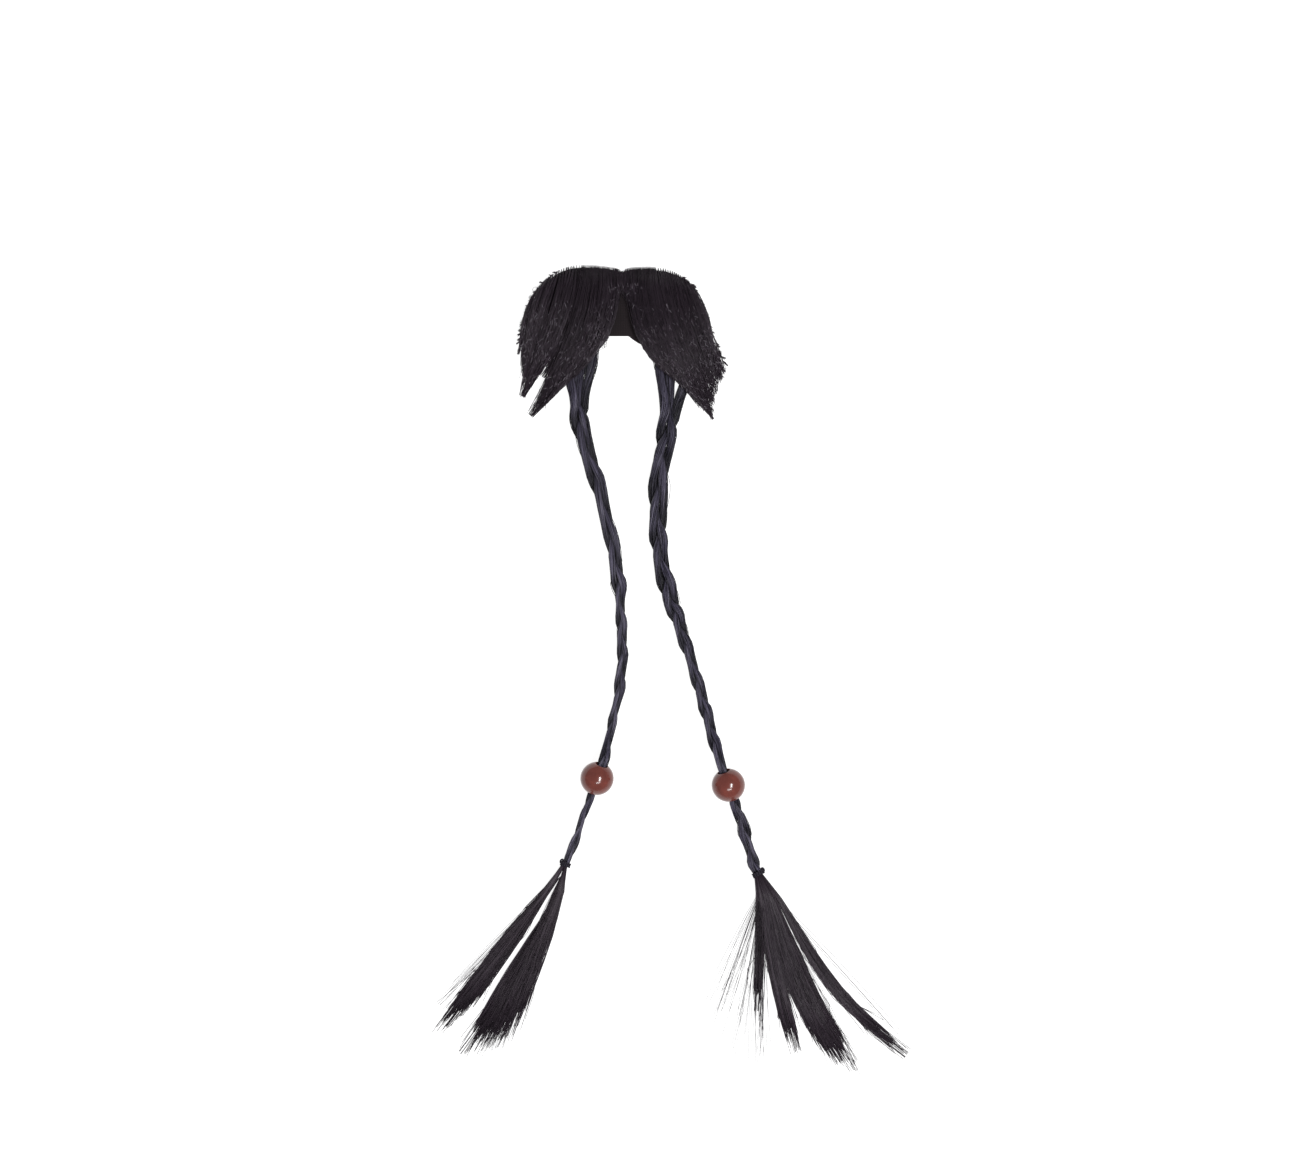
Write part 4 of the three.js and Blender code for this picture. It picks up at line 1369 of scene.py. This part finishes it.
class BEARD_OT_beads(bpy.types.Operator):
    """Threads a drilled bead on each plait"""

    bl_idname = "beard.beads"
    bl_label = "Beads"

    segments: bpy.props.IntProperty(name="Segments", description="Faces round a bead", default=48)
    rim_round: bpy.props.FloatProperty(
        name="Rim Rounding", description="Radius of the bore's rims", default=0.0002, **LENGTH)

    def execute(self, context):
        trim = context.scene.beard_trim
        material = bead_material(trim)
        pattern = self.drilled_bead(trim)
        for side in SIDES:
            plait = PLAITS[side]
            bead = bpy.data.objects.new(f"beard_bead_{side}", pattern.copy())
            context.collection.objects.link(bead)
            bead.matrix_world = place_along(plait_station(plait, plait.bead_row))
            apply_place(bead)
            finish_piece(bead, f"beard_bead_{side}", material, f"bead_{side}")
        bpy.data.meshes.remove(pattern)
        return {"FINISHED"}

    def drilled_bead(self, trim):
        """A ball with its poles cut away, a bore bridged through it and its rims rounded."""
        radius = trim.bead_diameter / 2
        bore = trim.bead_bore / 2
        deselect_all()
        bpy.ops.mesh.primitive_uv_sphere_add(
            segments=self.segments, ring_count=self.segments // 2, radius=radius)
        ball = bpy.context.object
        mouth = math.sqrt(radius ** 2 - bore ** 2)
        bpy.ops.object.mode_set(mode="EDIT")
        bpy.ops.mesh.select_all(action="DESELECT")
        bpy.ops.object.mode_set(mode="OBJECT")
        for face in ball.data.polygons:
            face.select = abs(face.center.z) > mouth
        bpy.ops.object.mode_set(mode="EDIT")
        bpy.ops.mesh.delete(type="FACE")
        bpy.ops.mesh.select_all(action="SELECT")
        bpy.ops.mesh.region_to_loop()
        bpy.ops.mesh.bridge_edge_loops()
        bpy.ops.mesh.select_all(action="DESELECT")
        bpy.ops.object.mode_set(mode="OBJECT")
        highest = max(vertex.co.z for vertex in ball.data.vertices)
        for edge in ball.data.edges:
            ends = [ball.data.vertices[number].co.z for number in edge.vertices]
            edge.select = all(abs(abs(z) - highest) < radius / self.segments ** 2 for z in ends)
        bpy.ops.object.mode_set(mode="EDIT")
        bpy.ops.mesh.bevel(offset=self.rim_round, segments=RIM_SEGMENTS)
        bpy.ops.mesh.select_all(action="SELECT")
        bpy.ops.mesh.normals_make_consistent()
        bpy.ops.object.mode_set(mode="OBJECT")
        bpy.ops.object.shade_smooth()
        mesh = ball.data
        bpy.data.objects.remove(ball)
        return mesh


# The turn of thread that crosses the others: its lean, as a share of theirs, and how far it lies out over
# them, as a share of the thread's thickness
CROSSING_LEAN = -2
CROSSING_RISE = 0.25


class BEARD_OT_ties(bpy.types.Operator):
    """Winds a thread round each plait's end and knots it at the side"""

    bl_idname = "beard.ties"
    bl_label = "Ties"

    turns: bpy.props.IntProperty(name="Turns", description="Turns of thread", default=3)
    pitch: bpy.props.FloatProperty(
        name="Pitch", default=0.85,
        description="Distance from turn to turn, as a share of the thread's thickness")
    tilt: bpy.props.FloatProperty(
        name="Tilt", description="How far each turn leans, as wound thread does", subtype="ANGLE",
        default=math.radians(7))
    clearance: bpy.props.FloatProperty(
        name="Clearance", description="Gap between the hair and the thread", default=0.0001, **LENGTH)
    loop_radius: bpy.props.FloatProperty(
        name="Loop Radius", default=0.0004, **LENGTH,
        description="Radius of the knot's loop, which lies flat beside the plait")
    loop_stretch: bpy.props.FloatProperty(
        name="Loop Stretch", default=1.3,
        description="Length of the knot's loop along the plait, as a share of its width")
    segments: bpy.props.IntVectorProperty(
        name="Segments", description="Faces along a turn of thread, and round the thread", size=2,
        default=(40, 10))

    def execute(self, context):
        trim = context.scene.beard_trim
        material = thread_material(trim)
        for side in SIDES:
            end = plait_end(PLAITS[side])
            rings = self.wound_turns(end.half_width * MM, trim.thread_width)
            rings += self.knot(end.half_width * MM, trim.thread_width, OUTWARD[side])
            deselect_all()
            for ring in rings:
                ring.select_set(True)
            context.view_layer.objects.active = rings[0]
            bpy.ops.object.join()
            tie = context.object
            tie.matrix_world = place_along(end) @ tie.matrix_world
            apply_place(tie)
            bpy.ops.object.shade_smooth()
            finish_piece(tie, f"thread_tie_{side}", material, f"tie_{side}")
        return {"FINISHED"}

    def ring(self, radius, thread, place, turn, flatness):
        """A ring of thread, made flatter or longer by a share, then turned and put in its place."""
        along, around = self.segments
        deselect_all()
        bpy.ops.mesh.primitive_torus_add(
            major_radius=radius, minor_radius=thread / 2, major_segments=along, minor_segments=around)
        ring = bpy.context.object
        bpy.ops.object.mode_set(mode="EDIT")
        bpy.ops.mesh.select_all(action="SELECT")
        bpy.ops.transform.resize(value=(1, flatness, 1))
        bpy.ops.object.mode_set(mode="OBJECT")
        ring.location = place
        ring.rotation_euler = turn
        apply_place(ring)
        return ring

    def wound_turns(self, half_width, thread):
        """Turns side by side along the plait, and one that crosses back over them."""
        radius = half_width + self.clearance + thread / 2
        flatness = (PLAIT_FLATNESS * half_width + self.clearance + thread / 2) / radius
        rings = []
        for number in range(self.turns):
            place = (0, 0, self.pitch * thread * (number - (self.turns - 1) / 2))
            rings.append(self.ring(radius, thread, place, (0, self.tilt, 0), flatness))
        crossing = (0, CROSSING_LEAN * self.tilt, 0)
        rings.append(self.ring(radius + CROSSING_RISE * thread, thread, (0, 0, 0), crossing, flatness))
        return rings

    def knot(self, half_width, thread, side):
        """A flat loop of thread beside the plait, and a turn drawn tight round its foot."""
        edge = half_width + self.clearance + thread
        upright = (math.pi / 2, 0, 0)
        loop_place = (side * (edge - self.loop_radius / 2), 0, -thread)
        loop = self.ring(self.loop_radius, thread, loop_place, upright, self.loop_stretch)
        lengthwise = (0, math.pi / 2, 0)
        foot = self.ring(self.loop_radius, thread, (side * (edge - thread / 2), 0, 0), lengthwise, 1)
        return [loop, foot]


class BEARD_OT_tassels(bpy.types.Operator):
    """Spreads the loose hair below each tie"""

    bl_idname = "beard.tassels"
    bl_label = "Tassels"

    def execute(self, context):
        settings = context.scene.beard_hair
        material = loose_hair(settings)
        for number, side in enumerate(SIDES):
            rng = np.random.default_rng((settings.seed, TASSEL_DRAWS, number))
            hairs = tassel_hairs(rng, side, settings)
            add_hair_piece(context, f"tassel_hair_{side}", hairs, material, f"tassel_{side}")
        return {"FINISHED"}


# The photograph's frame: the width of table that it shows, and the point at its middle
PHOTO_WIDTH = 391.2
PHOTO_MIDDLE = (9.0, -81.9)
FLOOR_SIZE = 6.0
FLOOR_DROP = 0.0001
# Softboxes: where each hangs, and its size
Softbox = namedtuple("Softbox", "place width height")
SOFTBOXES = {
    "side": Softbox((0.36, -0.14, 0.95), 0.44, 0.14),
    "front": Softbox((0.13, -0.62, 0.95), 0.5, 0.14),
}


class BEARD_OT_stage(bpy.types.Operator):
    """Lays the pale floor, sets the soft light and hangs the camera straight above"""

    bl_idname = "beard.stage"
    bl_label = "Stage"

    def execute(self, context):
        settings = context.scene.beard_stage
        self.add_floor(settings)
        self.add_light(context, settings)
        self.add_camera(context, settings)
        context.scene.view_settings.view_transform = "Standard"
        return {"FINISHED"}

    def add_floor(self, settings):
        deselect_all()
        bpy.ops.mesh.primitive_plane_add(size=FLOOR_SIZE, location=(0, 0, -FLOOR_DROP))
        floor = bpy.context.object
        floor.name = "floor"
        material, tree, shader = new_material("pale_floor", settings.floor_colour)
        set_sockets(
            tree, shader, Roughness=0.8, Emission_Color=(*WHITE, 1), Emission_Strength=settings.floor_glow)
        floor.data.materials.append(material)

    def add_light(self, context, settings):
        world = bpy.data.worlds.new("studio")
        world.use_nodes = True
        sky = world.node_tree.nodes["Background"]
        set_sockets(world.node_tree, sky, Color=(*WHITE, 1), Strength=settings.sky_strength)
        context.scene.world = world
        for name, box in SOFTBOXES.items():
            deselect_all()
            bpy.ops.object.light_add(type="AREA", location=box.place)
            light = context.object
            light.name = f"{name}_softbox"
            light.data.shape = "RECTANGLE"
            light.data.size = box.width
            light.data.size_y = box.height
            light.data.energy = getattr(settings, f"{name}_power")
            aim = Vector((*PHOTO_MIDDLE, 0)) * MM - light.location
            light.rotation_euler = aim.to_track_quat("-Z", "Y").to_euler()

    def add_camera(self, context, settings):
        deselect_all()
        bpy.ops.object.camera_add(location=(0, 0, 1), rotation=(0, 0, 0))
        camera = context.object
        camera.name = "photo_camera"
        camera.data.lens = settings.lens
        distance = settings.lens * PHOTO_WIDTH / camera.data.sensor_width
        camera.location = Vector((*PHOTO_MIDDLE, distance)) * MM
        context.scene.camera = camera


OPERATORS = (
    BEARD_OT_stage,
    BEARD_OT_backing,
    BEARD_OT_hair_sweeps,
    BEARD_OT_plaits,
    BEARD_OT_beads,
    BEARD_OT_ties,
    BEARD_OT_tassels,
)
SETTINGS = {
    "beard_hair": BeardHairSettings,
    "beard_trim": BeardTrimSettings,
    "beard_stage": BeardStageSettings,
}


class BEARD_PT_sidebar(bpy.types.Panel):
    """The beard's settings and the steps that build it"""

    bl_idname = "BEARD_PT_sidebar"
    bl_label = "Plaited Chin Beard"
    bl_space_type = "VIEW_3D"
    bl_region_type = "UI"
    bl_category = "Beard"

    def draw(self, context):
        for name, group in SETTINGS.items():
            column = self.layout.column(align=True)
            for setting in group.__annotations__:
                column.prop(getattr(context.scene, name), setting)
        for operator in OPERATORS:
            self.layout.operator(operator.bl_idname)


CLASSES = (*SETTINGS.values(), *OPERATORS, BEARD_PT_sidebar)


def register():
    for cls in CLASSES:
        bpy.utils.register_class(cls)
    for name, group in SETTINGS.items():
        setattr(bpy.types.Scene, name, bpy.props.PointerProperty(type=group))


def unregister():
    for name in SETTINGS:
        delattr(bpy.types.Scene, name)
    for cls in reversed(CLASSES):
        bpy.utils.unregister_class(cls)


def main():
    register()
    bpy.ops.beard.stage()
    bpy.ops.beard.backing()
    bpy.ops.beard.hair_sweeps()
    bpy.ops.beard.plaits()
    bpy.ops.beard.beads()
    bpy.ops.beard.ties()
    bpy.ops.beard.tassels()


if __name__ == "__main__":
    main()
